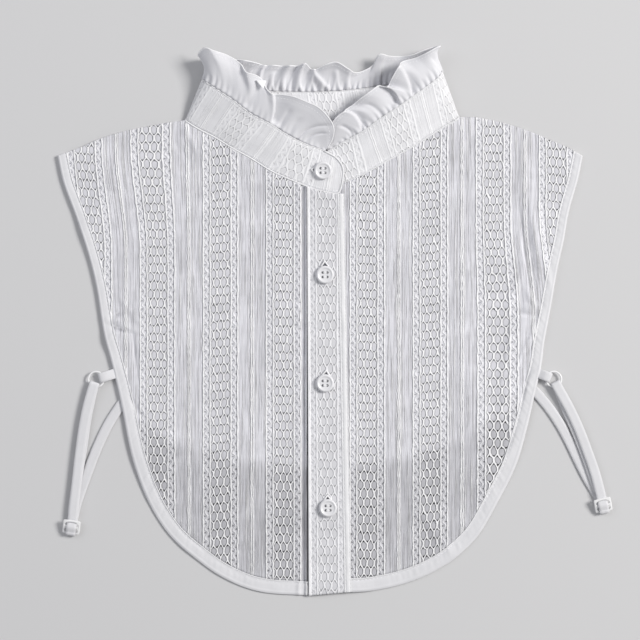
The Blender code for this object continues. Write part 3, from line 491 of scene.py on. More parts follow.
def surface(name, roughness):
    """A new material, its node tree and its shader."""
    made = bpy.data.materials.new(name)
    made.use_nodes = True
    shader = made.node_tree.nodes["Principled BSDF"]
    shader.inputs["Roughness"].default_value = roughness
    shader.inputs["Specular IOR Level"].default_value = 0.25
    return made, made.node_tree, shader


def finished(made, colour, tone, height, depth, strength):
    """A material, its colour multiplied by a tone and its surface raised by up to a depth in millimetres."""
    tree = made.node_tree
    shader = tree.nodes["Principled BSDF"]
    tone = add(tree, "CombineColor", (tone, tone, tone))
    colour = add(tree, "Mix", {0: 1.0, 6: colour, 7: tone}, out=2, data_type="RGBA", blend_type="MULTIPLY")
    bump = add(tree, "Bump", {"Height": height, "Distance": depth * MM, "Strength": strength})
    tree.links.new(colour, shader.inputs["Base Color"])
    tree.links.new(bump, shader.inputs["Normal"])
    return made


def lace_cotton(name, ground, strand, ground_alpha, slot_alpha, painted_cell_shade, sheer, relief_depth):
    """Dobby cotton with leno cells, braids and cords, its raised strands brighter than its sheer ground; its
    cells carry painted shade beside the strands and at their points.
    """
    made, tree, shader = surface(name, 0.85)
    place = add(tree, "UVMap", uv_map="weave")
    across, along = [add(tree, "SeparateXYZ", (place,), out) for out in (0, 1)]

    # Threads wander a little, so that no two cells are quite alike
    coarse = add(tree, "VectorMath", {0: place, 1: (7.0, 2.0, 1.0)}, operation="MULTIPLY")
    wander = add(tree, "TexNoise", {"Vector": coarse, "Scale": 1.3, "Detail": 2.0})
    wander = add(tree, "MULTIPLY_ADD", (wander, 1.5, -0.75))
    x = chain(tree, across, ("ADD", 0.5), ("FRACT",), ("MULTIPLY_ADD", REPEAT, -0.5 * REPEAT), ("ADD", wander))
    x_size = add(tree, "ABSOLUTE", (x,))

    # Leno cells: strands that part and meet, a cell's width and two rows apart
    turn = chain(tree, along, ("MULTIPLY", 2 * math.pi), ("ADD", wander))
    wave = chain(tree, turn, ("SINE",), ("MULTIPLY", 1.12), ("MAXIMUM", -0.94), ("MINIMUM", 0.94))
    halves = add(tree, "MULTIPLY", (x, 2.0 / CELL))
    column = add(tree, "FLOOR", (halves,))
    wave = chain(tree, column, ("FLOORED_MODULO", 2.0), ("MULTIPLY_ADD", -2.0, 1.0), ("MULTIPLY", wave))
    local = chain(tree, halves, ("SUBTRACT", column), ("SUBTRACT", 0.5))
    apart = add(tree, "MULTIPLY_ADD", (wave, -0.5, local))
    opening = chain(tree, apart, ("SIGN",), ("MULTIPLY", wave), ("MULTIPLY_ADD", -1.0, 1.0))
    apart = chain(tree, apart, ("ABSOLUTE",), ("MULTIPLY", CELL / 2))
    in_cells = add(tree, "MapRange", (x_size, *CELLS_END), **SOFT)
    strands = add(tree, "MapRange", (apart, *STRAND_SIDE), **SOFT)
    strands = add(tree, "MULTIPLY", (strands, in_cells))
    clear = add(tree, "SUBTRACT", (1.0, strands))
    # Painted shade in the cells: darker beside the strands and towards each cell's points; the same mask opens
    # the cells
    cells = add(tree, "MULTIPLY", (in_cells, 0.2))
    points = add(tree, "MapRange", (opening, *CELL_POINTS), **SOFT)
    cell_openings_and_painted_shade = add(tree, "MapRange", (apart, *STRAND_SHADE), **SOFT)
    cell_openings_and_painted_shade = chain(tree, cell_openings_and_painted_shade, ("MULTIPLY_ADD", 0.4, points), ("MULTIPLY", in_cells), ("MAXIMUM", cells))
    cell_openings_and_painted_shade = add(tree, "MULTIPLY", (cell_openings_and_painted_shade, clear))

    # Braids: one thick strand that swings twice a period between two cords
    swing = chain(tree, turn, ("MULTIPLY", 2.0), ("SINE",))
    middle = add(tree, "MULTIPLY_ADD", (swing, BRAID_SWING, BRAID_MIDDLE))
    off_strand = chain(tree, x_size, ("SUBTRACT", middle), ("ABSOLUTE",))
    from_middle = chain(tree, x_size, ("SUBTRACT", BRAID_MIDDLE), ("ABSOLUTE",))
    in_braid = add(tree, "MapRange", (from_middle, *BRAID_END), **SOFT)
    braid = add(tree, "MapRange", (off_strand, *BRAID_SIDE), **SOFT)
    braid = chain(tree, braid, ("MULTIPLY", in_braid), ("MULTIPLY", 0.5))
    far_out = add(tree, "ABSOLUTE", (swing,))
    far_out = add(tree, "MapRange", (far_out, *BRAID_TURNS), **SOFT)
    ticks = add(tree, "MapRange", (off_strand, *TICK_SIDE), **SOFT)
    ticks = chain(tree, ticks, ("MULTIPLY", in_braid), ("MULTIPLY", far_out), ("MULTIPLY", 0.7))

    # Cords beside the braids, and a pair between the bands
    relief = strands
    for middle, half in CORDS:
        off = chain(tree, x_size, ("SUBTRACT", middle), ("ABSOLUTE",))
        cord = add(tree, "MapRange", (off, half, CORD_TOP), **SOFT)
        relief = add(tree, "MAXIMUM", (relief, cord))

    # Ribs of the plain stripe, and warp threads that lie light and dark
    threads = add(tree, "VectorMath", {0: place, 1: (REPEAT, 0.14, 1.0)}, operation="MULTIPLY")
    streak = add(tree, "TexNoise", {"Vector": threads, "Scale": 0.95, "Detail": 3.0, "Roughness": 0.7})
    in_plain = add(tree, "MapRange", (x_size, *PLAIN_START), **SOFT)
    rib = add(tree, "MapRange", (streak, *RIB_STREAKS), **SOFT)
    rib = chain(tree, rib, ("MULTIPLY", in_plain), ("MULTIPLY", 0.9))
    furrow = add(tree, "MapRange", (streak, *FURROW_STREAKS), **SOFT)
    furrow = chain(tree, furrow, ("MULTIPLY", in_plain), ("MULTIPLY", 0.5))
    relief = chain(tree, relief, ("MAXIMUM", braid), ("MAXIMUM", rib))
    # All darkening marks: the painted cell shade, the braids' dark ticks and the dark warp streaks
    holes = chain(tree, cell_openings_and_painted_shade, ("MAXIMUM", ticks), ("MAXIMUM", furrow))
    colour = add(tree, "Mix", {0: relief, 6: srgb(ground), 7: srgb(strand)}, out=2, data_type="RGBA")

    # Painted shade: one layer alone is painted darker past the back's hem, standing for the shade beneath that
    # would show through it, and its cells darker still
    lining = add(tree, "UVMap", uv_map="lining")
    single = chain(tree, streak, ("MULTIPLY_ADD", 0.9, -0.45), ("SUBTRACT", lining))
    single = add(tree, "MapRange", (single, *HEM_SHADE_EDGE), **SOFT)
    thin = add(tree, "MULTIPLY_ADD", (relief, -0.75, 1.0))
    shade = chain(tree, single, ("MULTIPLY", thin), ("MULTIPLY_ADD", -sheer, 1.0))
    deeper_cell_shade = add(tree, "MULTIPLY_ADD", (single, 0.7, 1.0))
    open_shade = chain(tree, holes, ("MULTIPLY", deeper_cell_shade), ("MULTIPLY_ADD", -painted_cell_shade, 1.0))
    blotch = add(tree, "TexNoise", {"Vector": place, "Scale": 1.1, "Detail": 3.0})
    blotch = add(tree, "MapRange", (blotch, 0.3, 0.7, 0.93, 1.04))
    tone = chain(tree, shade, ("MULTIPLY", open_shade), ("MULTIPLY", blotch))

    if ground_alpha < 1.0:
        cut = add(tree, "MULTIPLY", (cell_openings_and_painted_shade, slot_alpha - ground_alpha))
        cloth_alpha = add(tree, "MapRange", {"Value": relief, "To Min": ground_alpha, "To Max": 1.0})
        cloth_alpha = add(tree, "ADD", (cloth_alpha, cut))
        tree.links.new(cloth_alpha, shader.inputs["Alpha"])

    fine = add(tree, "TexNoise", {"Vector": threads, "Scale": 6.0, "Detail": 2.0})
    height = add(tree, "MULTIPLY_ADD", (fine, 0.15, relief))
    height = add(tree, "MULTIPLY_ADD", (holes, -0.6, height))
    return finished(made, colour, tone, height, relief_depth, 1.0)


def plain_cotton(name, code, thread, depth):
    """Plain-woven cotton: matt, with a fine even grain of crossing threads, a thread's width in millimetres."""
    made, tree, shader = surface(name, 0.88)
    shader.inputs["Base Color"].default_value = srgb(code)
    shader.inputs["Sheen Weight"].default_value = 0.08
    place = add(tree, "TexCoord", out=3)
    threads = []
    for out in (0, 1):
        across = add(tree, "SeparateXYZ", (place,), out)
        threads.append(chain(tree, across, ("MULTIPLY", 2 * math.pi / (thread * MM)), ("SINE",)))
    grain = add(tree, "MULTIPLY", threads)
    cloudy = add(tree, "TexNoise", {"Vector": place, "Scale": 900.0, "Detail": 2.0})
    height = add(tree, "MULTIPLY_ADD", (cloudy, 0.8, grain))
    patches = add(tree, "TexNoise", {"Vector": place, "Scale": 60.0, "Detail": 3.0})
    tone = add(tree, "MapRange", (patches, 0.3, 0.7, 0.95, 1.0))
    return finished(made, srgb(code), tone, height, depth, 0.6)


def moulded(name, code, roughness, grain):
    """Moulded plastic: smooth, with a soft gloss."""
    made, tree, shader = surface(name, roughness)
    shader.inputs["Specular IOR Level"].default_value = 0.5
    place = add(tree, "TexCoord", out=3)
    cloud = add(tree, "TexNoise", {"Vector": place, "Scale": 260.0, "Detail": 2.0})
    tone = add(tree, "MapRange", {"Value": cloud, "To Min": 0.96, "To Max": 1.0})
    return finished(made, srgb(code), tone, cloud, grain, 0.3)


def dress(made, look, nodes=()):
    """Gives a piece its finish, lets it ride on the part, and hides the solids that it stands for."""
    made.data.materials.clear()
    made.data.materials.append(look)
    made.data.shade_smooth()
    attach(made, "root")
    if nodes:
        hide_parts(*nodes)
    return made


def placed(name, data):
    """A new object of the scene that holds a mesh, a lamp or the camera."""
    made = bpy.data.objects.new(name, data)
    bpy.context.scene.collection.objects.link(made)
    return made


def link(name, shape):
    """A finished mesh as an object of the scene."""
    mesh = bpy.data.meshes.new(name)
    shape.to_mesh(mesh)
    shape.free()
    return placed(name, mesh)


def rounded(made, levels):
    """Rounds a piece's surface by subdivision."""
    smooth = made.modifiers.new("rounded surface", "SUBSURF")
    smooth.levels = levels
    smooth.render_levels = levels


def cloth(name, columns, rows, place, thickness, levels=1, lined=None):
    """A cloth shell: place(u, v) gives each point in millimetres and its place in the weave."""
    shape = bmesh.new()
    bmesh.ops.create_grid(shape, x_segments=columns, y_segments=rows, size=0.5)
    weave = shape.loops.layers.uv.new("weave")
    lining = shape.loops.layers.uv.new("lining")
    spots = {}
    for vert in shape.verts:
        spots[vert] = place(min(1.0, max(0.0, vert.co.x + 0.5)), min(1.0, max(0.0, vert.co.y + 0.5)))
    for face in shape.faces:
        for loop in face.loops:
            point, uv = spots[loop.vert]
            loop[weave].uv = uv
            loop[lining].uv = (lined(point), 0.0) if lined else (DOUBLE_EVERYWHERE, 0.0)
    for vert, (point, uv) in spots.items():
        vert.co = Vector((point.x, point.y, max(point.z, thickness / 2))) * MM
    made = link(name, shape)
    if levels:
        rounded(made, levels)
    solid = made.modifiers.new("cloth thickness", "SOLIDIFY")
    solid.thickness = thickness * MM
    solid.offset = 0.0
    return made


def path_on(place, v, steps, lift=0.0):
    """Points along a cloth's line of constant v, lifted off it a little."""
    return [place(index / steps, v)[0] + Vector((0, 0, lift)) for index in range(steps + 1)]


def stitches(name, place, v, stitch, samples=400):
    """A row of small sewn stitches along a cloth's line of constant v, each a slim grain of thread."""
    line = Line(path_on(place, v, samples))
    shape = bmesh.new()
    for index in range(int(line.length / stitch.pitch)):
        middle, start, end = [line.at((index + part) * stitch.pitch) for part in (0.5, 0.1, 0.9)]
        turn = (end - start).normalized().to_track_quat("X", "Z")
        size = Vector((stitch.length / 2, stitch.radius, stitch.radius)) * MM
        spot = Matrix.LocRotScale((middle + Vector((0, 0, stitch.lift))) * MM, turn, size)
        bmesh.ops.create_uvsphere(shape, u_segments=6, v_segments=4, radius=1.0, matrix=spot)
    return dress(link(name, shape), thread_look)


def tube(name, path, radius, sides, look):
    """A round roll or cord along a path in millimetres, closed at its ends."""
    shape = bmesh.new()
    rings = []
    for index, middle in enumerate(path):
        way = (path[min(index + 1, len(path) - 1)] - path[max(index - 1, 0)]).normalized()
        spot = Matrix.LocRotScale(middle * MM, way.to_track_quat("Z", "Y"), None)
        ring = bmesh.ops.create_circle(
            shape, cap_ends=index in (0, len(path) - 1), segments=sides, radius=radius * MM, matrix=spot,
        )
        rings.append(list({edge for vert in ring["verts"] for edge in vert.link_edges}))
    for first, second in zip(rings, rings[1:]):
        bmesh.ops.bridge_loops(shape, edges=first + second)
    bmesh.ops.recalc_face_normals(shape, faces=shape.faces)
    return dress(link(name, shape), look)


def swell(place, middle, width):
    """A soft ridge: 1 at its middle, fading over its width."""
    return math.exp(-((place - middle) / width) ** 2)


def bound_relief(along, v):
    """A folded edge's profile: rolled at its rim, sunk along its stitches, and puckered by them."""
    crown = BINDING_CROWN * math.sin(math.pi * min(1.0, v / 0.8)) - 0.3 * eased(1 - v * 7)
    groove = 0.25 * swell(v, 0.14, 0.07) - 0.3 * swell(v, 0.84, 0.07)
    drawn = noise.noise(Vector((along / 2.6, 0.0, 3.0))) + 0.6 * noise.noise(Vector((along / 7.0, v * 2, 5.0)))
    return crown + groove + 0.26 * drawn * eased(v * 1.5)


def bound_edge(name, outline, ways, length, height, bands, columns, rows):
    """A binding, folded round a panel's edge, and the function that gives its places."""
    edges = [Line(moved_in(outline, share / bands, 0.0, *ways)) for share in range(bands + 1)]

    def binding_place(u, v):
        row = min(bands - 1, int(v * bands))
        point = edges[row].share(u).lerp(edges[row + 1].share(u), v * bands - row)
        return Vector((point.x, point.y, height(point, u * length, v))), (u * length / 10, v)

    strip = cloth(name + "_bound_edge", columns, rows, binding_place, BOUND_EDGE, 0)
    return dress(strip, bound_look, [name + "_binding"]), binding_place


def top_edge(shoulder, neck):
    """A panel's upper edge: its shoulder seams, and the neck seam a little below the collar."""
    return in_order(shoulder + [point - Vector((0.0, NECK_GAP, 0.0)) for point in neck])


def front(side, shoulder, neck, edge, inner_x, height):
    """A front panel with its binding and the binding's stitching."""
    name = side + "_front"
    way = shoulder_way(shoulder)
    spaced = Line(smooth_curve(vectors(edge), 8))
    outline = [spaced.share(index / 120) for index in range(121)]
    facing = 1.0 if inner_x > outline[0].x else -1.0
    tip = [outline[0].lerp(outline[1], 0.4), *outline[1:]]
    lower = moved_in(tip, 1.0, GAP - EDGE_TUCK, way, None)
    lower = [point for point in lower if (inner_x - point.x) * facing > 0.6]
    lower.append(Vector((inner_x, lower[-1].y, 0.0)))
    lower_line = Line(lower)
    upper = top_edge(smooth_curve(vectors(shoulder), 4), neck)

    def panel_place(u, v):
        # The columns crowd towards the placket, where the tuck is narrow
        foot = lower_line.share(1 - (1 - u) ** 1.4)
        y = foot.y + (height_at(upper, foot.x) - foot.y) * v
        return Vector((foot.x, y, height(foot.x, y))), stripes(foot.x, y)

    def binding_height(point, along, v):
        return height(point.x, point.y) + bound_relief(along, v)

    panel = cloth(name + "_lace", 210, 170, panel_place, CLOTH, 0, lined=above_back_hem)
    dress(panel, front_look, [name + "_panel"])
    strip, place = bound_edge(name, outline, (way, None), spaced.length, binding_height, 6, 420, 18)
    row = stitches(name + "_edge_stitches", place, 0.84, EDGE_STITCH)
    ridge = tube(name + "_edge_fold", path_on(place, 0.97, 300, 0.3), 0.4, 6, fold_highlight_look)


def back(strap_pieces):
    """The back panel and its binding, flat on the table under the fronts; the straps are sewn to it."""
    down = [p for p in smooth_curve(vectors(EDGE_RIGHT), 8) if p.y > BACK_HEM[0].y]
    up = [p for p in smooth_curve(vectors(EDGE_LEFT), 8) if p.y > BACK_HEM[-1].y]
    edge = Line(down + smooth_curve(vectors(BACK_HEM), 8) + up[::-1])
    outline = [edge.share(index / 160) for index in range(161)]
    ways = shoulder_way(SHOULDER_RIGHT), shoulder_way(SHOULDER_LEFT)
    tips = [outline[0].lerp(outline[1], 0.4), *outline[1:-1], outline[-1].lerp(outline[-2], 0.4)]
    lower = Line(in_order(moved_in(tips, 1.0, GAP - EDGE_TUCK, *ways)))
    shoulders = smooth_curve(vectors(SHOULDER_RIGHT), 4) + smooth_curve(vectors(SHOULDER_LEFT), 4)
    upper = top_edge(shoulders, back_neck)

    def panel_place(u, v):
        foot = lower.share(u)
        y = foot.y + (height_at(upper, foot.x) - foot.y) * v
        return Vector((foot.x, y, BACK_LEVEL)), ((foot.x + 8.0) / REPEAT, y / PERIOD)

    def binding_height(point, along, v):
        return BACK_LEVEL

    panel = cloth("back_lace", 90, 30, panel_place, CLOTH)
    dress(panel, back_look, ["back_panel"])
    strip, place = bound_edge("back", outline, ways, edge.length, binding_height, 3, 220, 5)


def placket_place(u, v):
    """The lapped strip: a raised fold down each side, its upper end under the collar."""
    top_x = PLACKET_LEFT_TOP + (PLACKET_RIGHT_TOP - PLACKET_LEFT_TOP) * u
    foot_x = PLACKET_LEFT_FOOT + (PLACKET_RIGHT_FOOT - PLACKET_LEFT_FOOT) * u
    top_y = height_at(ordered_over_neck, min(top_x, PLACKET_NECK_X)) - NECK_GAP
    foot_y = PLACKET_FOOT_LEFT_Y + (PLACKET_FOOT_RIGHT_Y - PLACKET_FOOT_LEFT_Y) * u
    x = foot_x + (top_x - foot_x) * v
    y = foot_y + (top_y - foot_y) * v
    folds = 0.15 * swell(u, 0.04, 0.03) - 0.35 * swell(u, 0.09, 0.03)
    wander = 0.1 * noise.noise(Vector((u * 3, y / 9.0, 4.0)))
    z = front_height(x, y, over_neck) + PLACKET_RISE + folds + wander
    return Vector((x, y, z)), ((x + 1.3 - 1.2 * (1 - v)) / REPEAT, y / PERIOD)


def placket_fold_place(u, v):
    """The strip's right edge, folded over once more and sewn down along both its sides."""
    inner, outer = 0.84 + 0.02 * v, 1.0 + 0.05 * v
    point, uv = placket_place(inner + (outer - inner) * u, v)
    sewn = swell(u, 0.2, 0.09) + swell(u, 0.82, 0.09)
    uneven = 0.2 * noise.noise(Vector((u * 2, point.y / 5.0, 9.0)))
    point.z += 0.32 + 0.25 * math.sin(math.pi * u) - 0.3 * sewn + uneven
    return point, uv


def placket():
    """The placket with its folds and their stitching."""
    def strip_along(v, u):
        return placket_place(u, v)

    def fold_along(v, u):
        return placket_fold_place(u, v)

    strip = cloth("placket_lace", 44, 120, placket_place, CLOTH)
    dress(strip, placket_look, ["placket"])
    rows = [
        tube("placket_left_fold", path_on(strip_along, 0.018, 160, 0.25), 0.48, 8, fold_highlight_look),
        stitches("placket_left_stitches", strip_along, 0.1, PLACKET_STITCH),
        dress(cloth("placket_folded_edge", 18, 170, placket_fold_place, 0.45), fold_highlight_look),
        stitches("placket_fold_inner_stitches", fold_along, 0.2, FOLD_STITCH),
        stitches("placket_fold_outer_stitches", fold_along, 0.82, FOLD_STITCH),
    ]


seam_line = Line(top_seam)
foot_line = Line(neck_seam, seam_line.marks)
ruffle_edge = Line(
    smooth_curve([under_sight(f.x, f.y, f.z) for f in RUFFLE], 8),
    [p.x for p in smooth_curve([Vector((f.along, 0.0, 0.0)) for f in RUFFLE], 8)],
)


def band_place(u, v):
    """The stand collar band, from its buttoned end round the neck to the end beneath."""
    along = seam_line.length * u
    low, high = foot_line.at(along), seam_line.at(along)
    point = low.lerp(high, v)
    point.z += 0.5 * v * (1 - v) + 0.12 * noise.noise(Vector((along / 8.0, v * 3, 5.0)))
    slant = 4.0 * (v - 0.5)
    return point, ((along + slant + 6.0) / REPEAT, (v * (high - low).length) / PERIOD)


def band():
    """The collar band with its edge stitching."""
    strip = cloth("collar_band_lace", 300, 12, band_place, CLOTH)
    dress(strip, band_look, ["collar_band"])
    rows = [
        stitches("collar_neck_stitches", band_place, 0.06, COLLAR_STITCH, 900),
        stitches("collar_top_stitches", band_place, 0.93, COLLAR_STITCH, 900),
    ]
    rim = path_on(band_place, -0.02, 300)[::-1]
    rim += [band_place(0.0, index / 8)[0] for index in range(1, 8)]
    rim += path_on(band_place, 1.0, 300)[:16]
    seam = path_on(band_place, 1.0, 300)[15:]
    for name, path, radius, lift in (("rim", rim, 0.58, 0.36), ("top", seam, 0.42, 0.1)):
        for index, middle in enumerate(path):
            middle.z += lift + 0.12 * noise.noise(Vector((index * 0.9, 9.0, 1.0)))
        rows.append(tube("collar_" + name + "_roll", path, radius, 8, fold_highlight_look))


def pleat_push(along, v):
    """How far the listed pleats push the ruffle's face out at a place on it."""
    total = 0.0
    for pleat in PLEATS:
        near = pleat.along + pleat.lean * v
        side = swell(along, near, pleat.before if along < near else pleat.after)
        total += pleat.height * side * eased((v - pleat.start) * 6) * eased((pleat.end - v) * 6)
    return total


def ruffle_place(u, v):
    """The gathered ruffle: broad waves towards its free edge, fine gathers at its seam."""
    start, finish = ruffle_edge.marks[0], ruffle_edge.marks[-1]
    along = start + (finish - start) * u
    root, edge = seam_line.at(along), ruffle_edge.at(along)
    rise = (root - foot_line.at(along)).normalized()
    root = root + rise * RUFFLE_ROOT_GAP
    bend = root + rise * (edge - root).length * RUFFLE_STAND
    ahead = seam_line.at(along + 0.5) - seam_line.at(along - 0.5)
    out = ahead.cross(rise).normalized()
    point = root * (1 - v) ** 2 + bend * 2 * v * (1 - v) + edge * v * v
    phase = 2 * math.pi * GATHER_COUNT * u + 1.6 * noise.noise(Vector((u * 60, 0, 0)))
    reach = 0.45 + 0.3 * noise.noise(Vector((u * 130, 3, 0)))
    # The gathers are calmer over the left wave and towards the ruffle's far end
    calm = 1 - 0.65 * eased((along - 12) / 14) * eased((115 - along) / 20) - 0.5 * eased((along - 290) / 20)
    gather = GATHER_DEPTH * calm * math.cos(phase) * max(0.0, 1 - v / max(0.15, reach * (0.5 + 0.5 * calm)))
    soft = 0.45 * noise.noise(Vector((along / 5.5, v * 1.5, 6.0))) * v
    crumple = 0.9 * noise.noise(Vector((along / 9.0, v * 0.8, 2.0))) * v * (1.2 - v)
    hem = RUFFLE_HEM_RISE * eased((v - 0.8) * 12)
    return point + out * (gather + soft + crumple + hem + pleat_push(along, v)), (u * 30, v * 2)


def turned_tip_place(u, v):
    """The small corner that the left wave turns over: a three-cornered flap."""
    first, second, last = [under_sight(corner.x, corner.y, corner.z) for corner in TURNED_TIP]
    return first.lerp(second, u).lerp(last, v), (u, v)


def ruffle():
    """The ruffle with its rolled hem and hem stitching."""
    strip = cloth("gathered_ruffle", 1000, 16, ruffle_place, 0.45, 0)
    dress(strip, ruffle_look, ["collar_ruffle"])
    path = path_on(ruffle_place, 0.985, 560)
    roll = tube("ruffle_rolled_hem", path, 0.45, 6, hem_highlight_look)
    # The turned tip wears the hem's painted highlight, lighter than the lawn around it
    tip = dress(cloth("ruffle_turned_tip", 4, 4, turned_tip_place, 0.45), hem_highlight_look)
    row = stitches("ruffle_hem_stitches", ruffle_place, 0.88, HEM_STITCH, 1200)


def turned_button():
    """A four-hole button: raised rim, shallow well."""
    radius = BUTTON_DIAMETER / 2
    floor = BUTTON_HEIGHT - BUTTON_WELL
    profile = [
        (0.0, 0.0), (BUTTON_FOOT_RADIUS, 0.0), (radius - 0.2, BUTTON_WIDEST_AT - 0.4),
        (radius, BUTTON_WIDEST_AT), (radius - 0.15, BUTTON_WIDEST_AT + 0.6),
        (BUTTON_TOP_RADIUS, BUTTON_HEIGHT - 0.12),
        (radius - 1.0, BUTTON_HEIGHT), (radius - BUTTON_RIM, BUTTON_HEIGHT - 0.1),
        (BUTTON_WELL_RADIUS, floor + 0.1), (BUTTON_WELL_RADIUS - 0.4, floor), (0.0, floor),
    ]
    shape = bmesh.new()
    verts = [shape.verts.new((x * MM, 0.0, z * MM)) for x, z in profile]
    edges = [shape.edges.new(pair) for pair in zip(verts, verts[1:])]
    bmesh.ops.spin(
        shape, geom=verts + edges, cent=(0, 0, 0), axis=(0, 0, 1), angle=2 * math.pi, steps=48, use_merge=True,
    )
    bmesh.ops.remove_doubles(shape, verts=shape.verts, dist=0.00001)
    bmesh.ops.recalc_face_normals(shape, faces=shape.faces)
    blank = link("button_blank", shape)
    drills = bmesh.new()
    offset = BUTTON_HOLE_SPACING / 2
    bore = BUTTON_HOLE_DIAMETER / 2 * MM
    for x in (-offset, offset):
        for y in (-offset, offset):
            bmesh.ops.create_cone(
                drills, cap_ends=True, segments=16, radius1=bore, radius2=bore, depth=3 * BUTTON_HEIGHT * MM,
                matrix=Matrix.Translation((x * MM, y * MM, 0.0)),
            )
    drill = link("button_drills", drills)
    cut = blank.modifiers.new("holes", "BOOLEAN")
    cut.operation = "DIFFERENCE"
    cut.object = drill
    bpy.context.view_layer.update()
    state = bpy.context.evaluated_depsgraph_get()
    disc = bpy.data.meshes.new_from_object(blank.evaluated_get(state))
    bpy.data.objects.remove(blank)
    bpy.data.objects.remove(drill)
    return disc


def button(place, mesh):
    """One button with its sewing thread, and the buttonhole that it sits in."""
    height = place.z
    if height is None:
        height = front_height(place.x, place.y, over_neck) + PLACKET_RISE
    seat = Vector((place.x, place.y, height + WALL / 2 + BUTTON_FOOT_GAP))
    where = Matrix.Translation(seat * MM) @ Matrix.Rotation(math.radians(place.tilt), 4, "X")
    disc = mesh.copy()
    disc.transform(where)
    dress(placed(place.node + "_disc", disc), button_look, [place.node])
    disc.set_sharp_from_angle(angle=math.radians(40))

    threads = bmesh.new()
    offset = BUTTON_HOLE_SPACING / 2
    size = Vector((offset + 0.1, 0.24, 0.24)) * MM
    for y in (-offset, offset):
        for shift in (-0.22, 0.22):
            middle = Vector((0.0, y + shift, BUTTON_HEIGHT - BUTTON_WELL - 0.02)) * MM
            bar = Matrix.LocRotScale(middle, None, size)
            bmesh.ops.create_uvsphere(threads, u_segments=8, v_segments=6, radius=1.0, matrix=where @ bar)
    dress(link(place.node + "_thread", threads), thread_look)

    # The buttonhole's end, which the button's stem pulls open beside it
    turn = math.radians(place.hole_turn)
    up = Vector((-math.sin(turn), math.cos(turn), 0.0))
    side = Vector((up.y, -up.x, 0.0))
    middle = Vector((place.x, place.y, height + WALL / 2 + 0.1))
    # The slit is a flat dark grain: painted shade where the buttonhole stands open
    size = Vector((place.hole_reach * SLIT_HALF, SLIT_WIDTH, 0.2)) * MM
    spot = Matrix.LocRotScale((middle + up * place.hole_reach * SLIT_AT) * MM, up.to_track_quat("X", "Z"), size)
    slit = bmesh.new()
    bmesh.ops.create_uvsphere(slit, u_segments=12, v_segments=8, radius=1.0, matrix=spot)
    dress(link(place.node + "_hole_slit_shade", slit), slit_shade_look)
    for name, way in (("left", -1), ("right", 1)):
        path = []
        for index in range(9):
            share = index / 8
            out = up * place.hole_reach * (1 - 0.42 * share) + side * way * LIP_SPREAD * share ** 1.2
            path.append(middle + out + Vector((0, 0, 0.3 + 0.3 * math.sin(math.pi * share))))
        tube(place.node + "_hole_" + name + "_lip", path, LIP_RADIUS, 8, thread_look)


def smoothed(node, name, look, kept=0.0, sewn=None):
    """A finer copy of a solid, its facets rounded, and its sewn end carried in under the binding."""
    shape = bmesh.new()
    shape.from_mesh(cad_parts[node].data)
    bmesh.ops.remove_doubles(shape, verts=shape.verts, dist=0.000005)
    bmesh.ops.join_triangles(
        shape, faces=shape.faces, angle_face_threshold=math.pi, angle_shape_threshold=math.pi,
    )
    if kept:
        crease = shape.edges.layers.float.new("crease_edge")
        for edge in shape.edges:
            if edge.calc_face_angle(0.0) > math.radians(50):
                edge[crease] = kept
    if sewn:
        root = Vector((sewn.x, sewn.y, sewn.z))
        way = Vector((sewn.way_x, sewn.way_y, 0.0)).normalized()
        for vert in shape.verts:
            off = vert.co / MM - root
            if off.length < SEWN_END_RADIUS and off.dot(way) > -SEWN_END_SLACK:
                vert.co += way * SEWN_END_REACH * MM
                vert.co.z = min(vert.co.z, SEWN_END_TOP * MM)
    made = link(name, shape)
    rounded(made, 2)
    return dress(made, look, [node])


def hardware():
    """The elastic straps with their loops, rings and sliders."""
    pieces = []
    for side, loop_end, strap_end in (("right", *RIGHT_SEWN), ("left", *LEFT_SEWN)):
        strap = side + "_strap"
        pieces += [
            smoothed(strap + "_ring", side + "_ring", nylon_look),
            smoothed(strap + "_slider", side + "_slider", nylon_look, 0.6),
            smoothed(strap + "_stub", side + "_ring_loop", elastic_look, 0.8, loop_end),
            smoothed(strap, side + "_elastic", elastic_look, 0.8, strap_end),
        ]
    return pieces


def stage():
    """A plain pale floor, studio light from the right, as in the photograph, and the camera straight above."""
    scene = bpy.context.scene
    shape = bmesh.new()
    spot = Matrix.Translation((0, 0, -FLOOR_DEPTH * MM))
    bmesh.ops.create_grid(shape, x_segments=1, y_segments=1, size=1.5, matrix=spot)
    floor = link("floor", shape)
    look, _, shader = surface("pale floor", 0.9)
    shader.inputs["Base Color"].default_value = srgb("#CFCFD0")
    floor.data.materials.append(look)

    for name, spot, size, power, colour in (
        ("key", (2.5, 0.9, 2.3), 1.1, 112.0, "#FFFDFA"),
        ("fill", (-1.2, 0.7, 1.3), 1.2, 7.0, "#F6F8FF"),
    ):
        lamp = bpy.data.lights.new(name, "AREA")
        lamp.size = size
        lamp.energy = power
        lamp.color = srgb(colour)[:3]
        made = placed(name, lamp)
        made.location = spot
        made.rotation_euler = (-Vector(spot)).to_track_quat("-Z", "Y").to_euler()

    world = bpy.data.worlds.new("studio")
    world.use_nodes = True
    background = world.node_tree.nodes["Background"]
    background.inputs["Color"].default_value = srgb("#F4F5F8")
    background.inputs["Strength"].default_value = 0.36
    scene.world = world

    # The standard view keeps the whites of the cotton white
    scene.view_settings.view_transform = "Standard"
    lens = bpy.data.cameras.new("camera")
    lens.lens = LENS
    lens.sensor_width = SENSOR
    scene.camera = placed("camera", lens)
    scene.camera.location = (SIGHT_MIDDLE_X * MM, SIGHT_MIDDLE_Y * MM, SIGHT_WIDTH * MM * LENS / SENSOR)


# Bleached dobby lace, one layer: matt, with bright raised strands on a thin ground, and painted shade in its
# cells and past the back's hem. Each bundle of its threads is drawn as one strand, up to 1.6 mm wide.
front_look = lace_cotton("dobby lace cotton, sheer", "#E9E9EF", "#FCFCFE", 0.96, 0.8, 0.5, 0.2, 1.0)
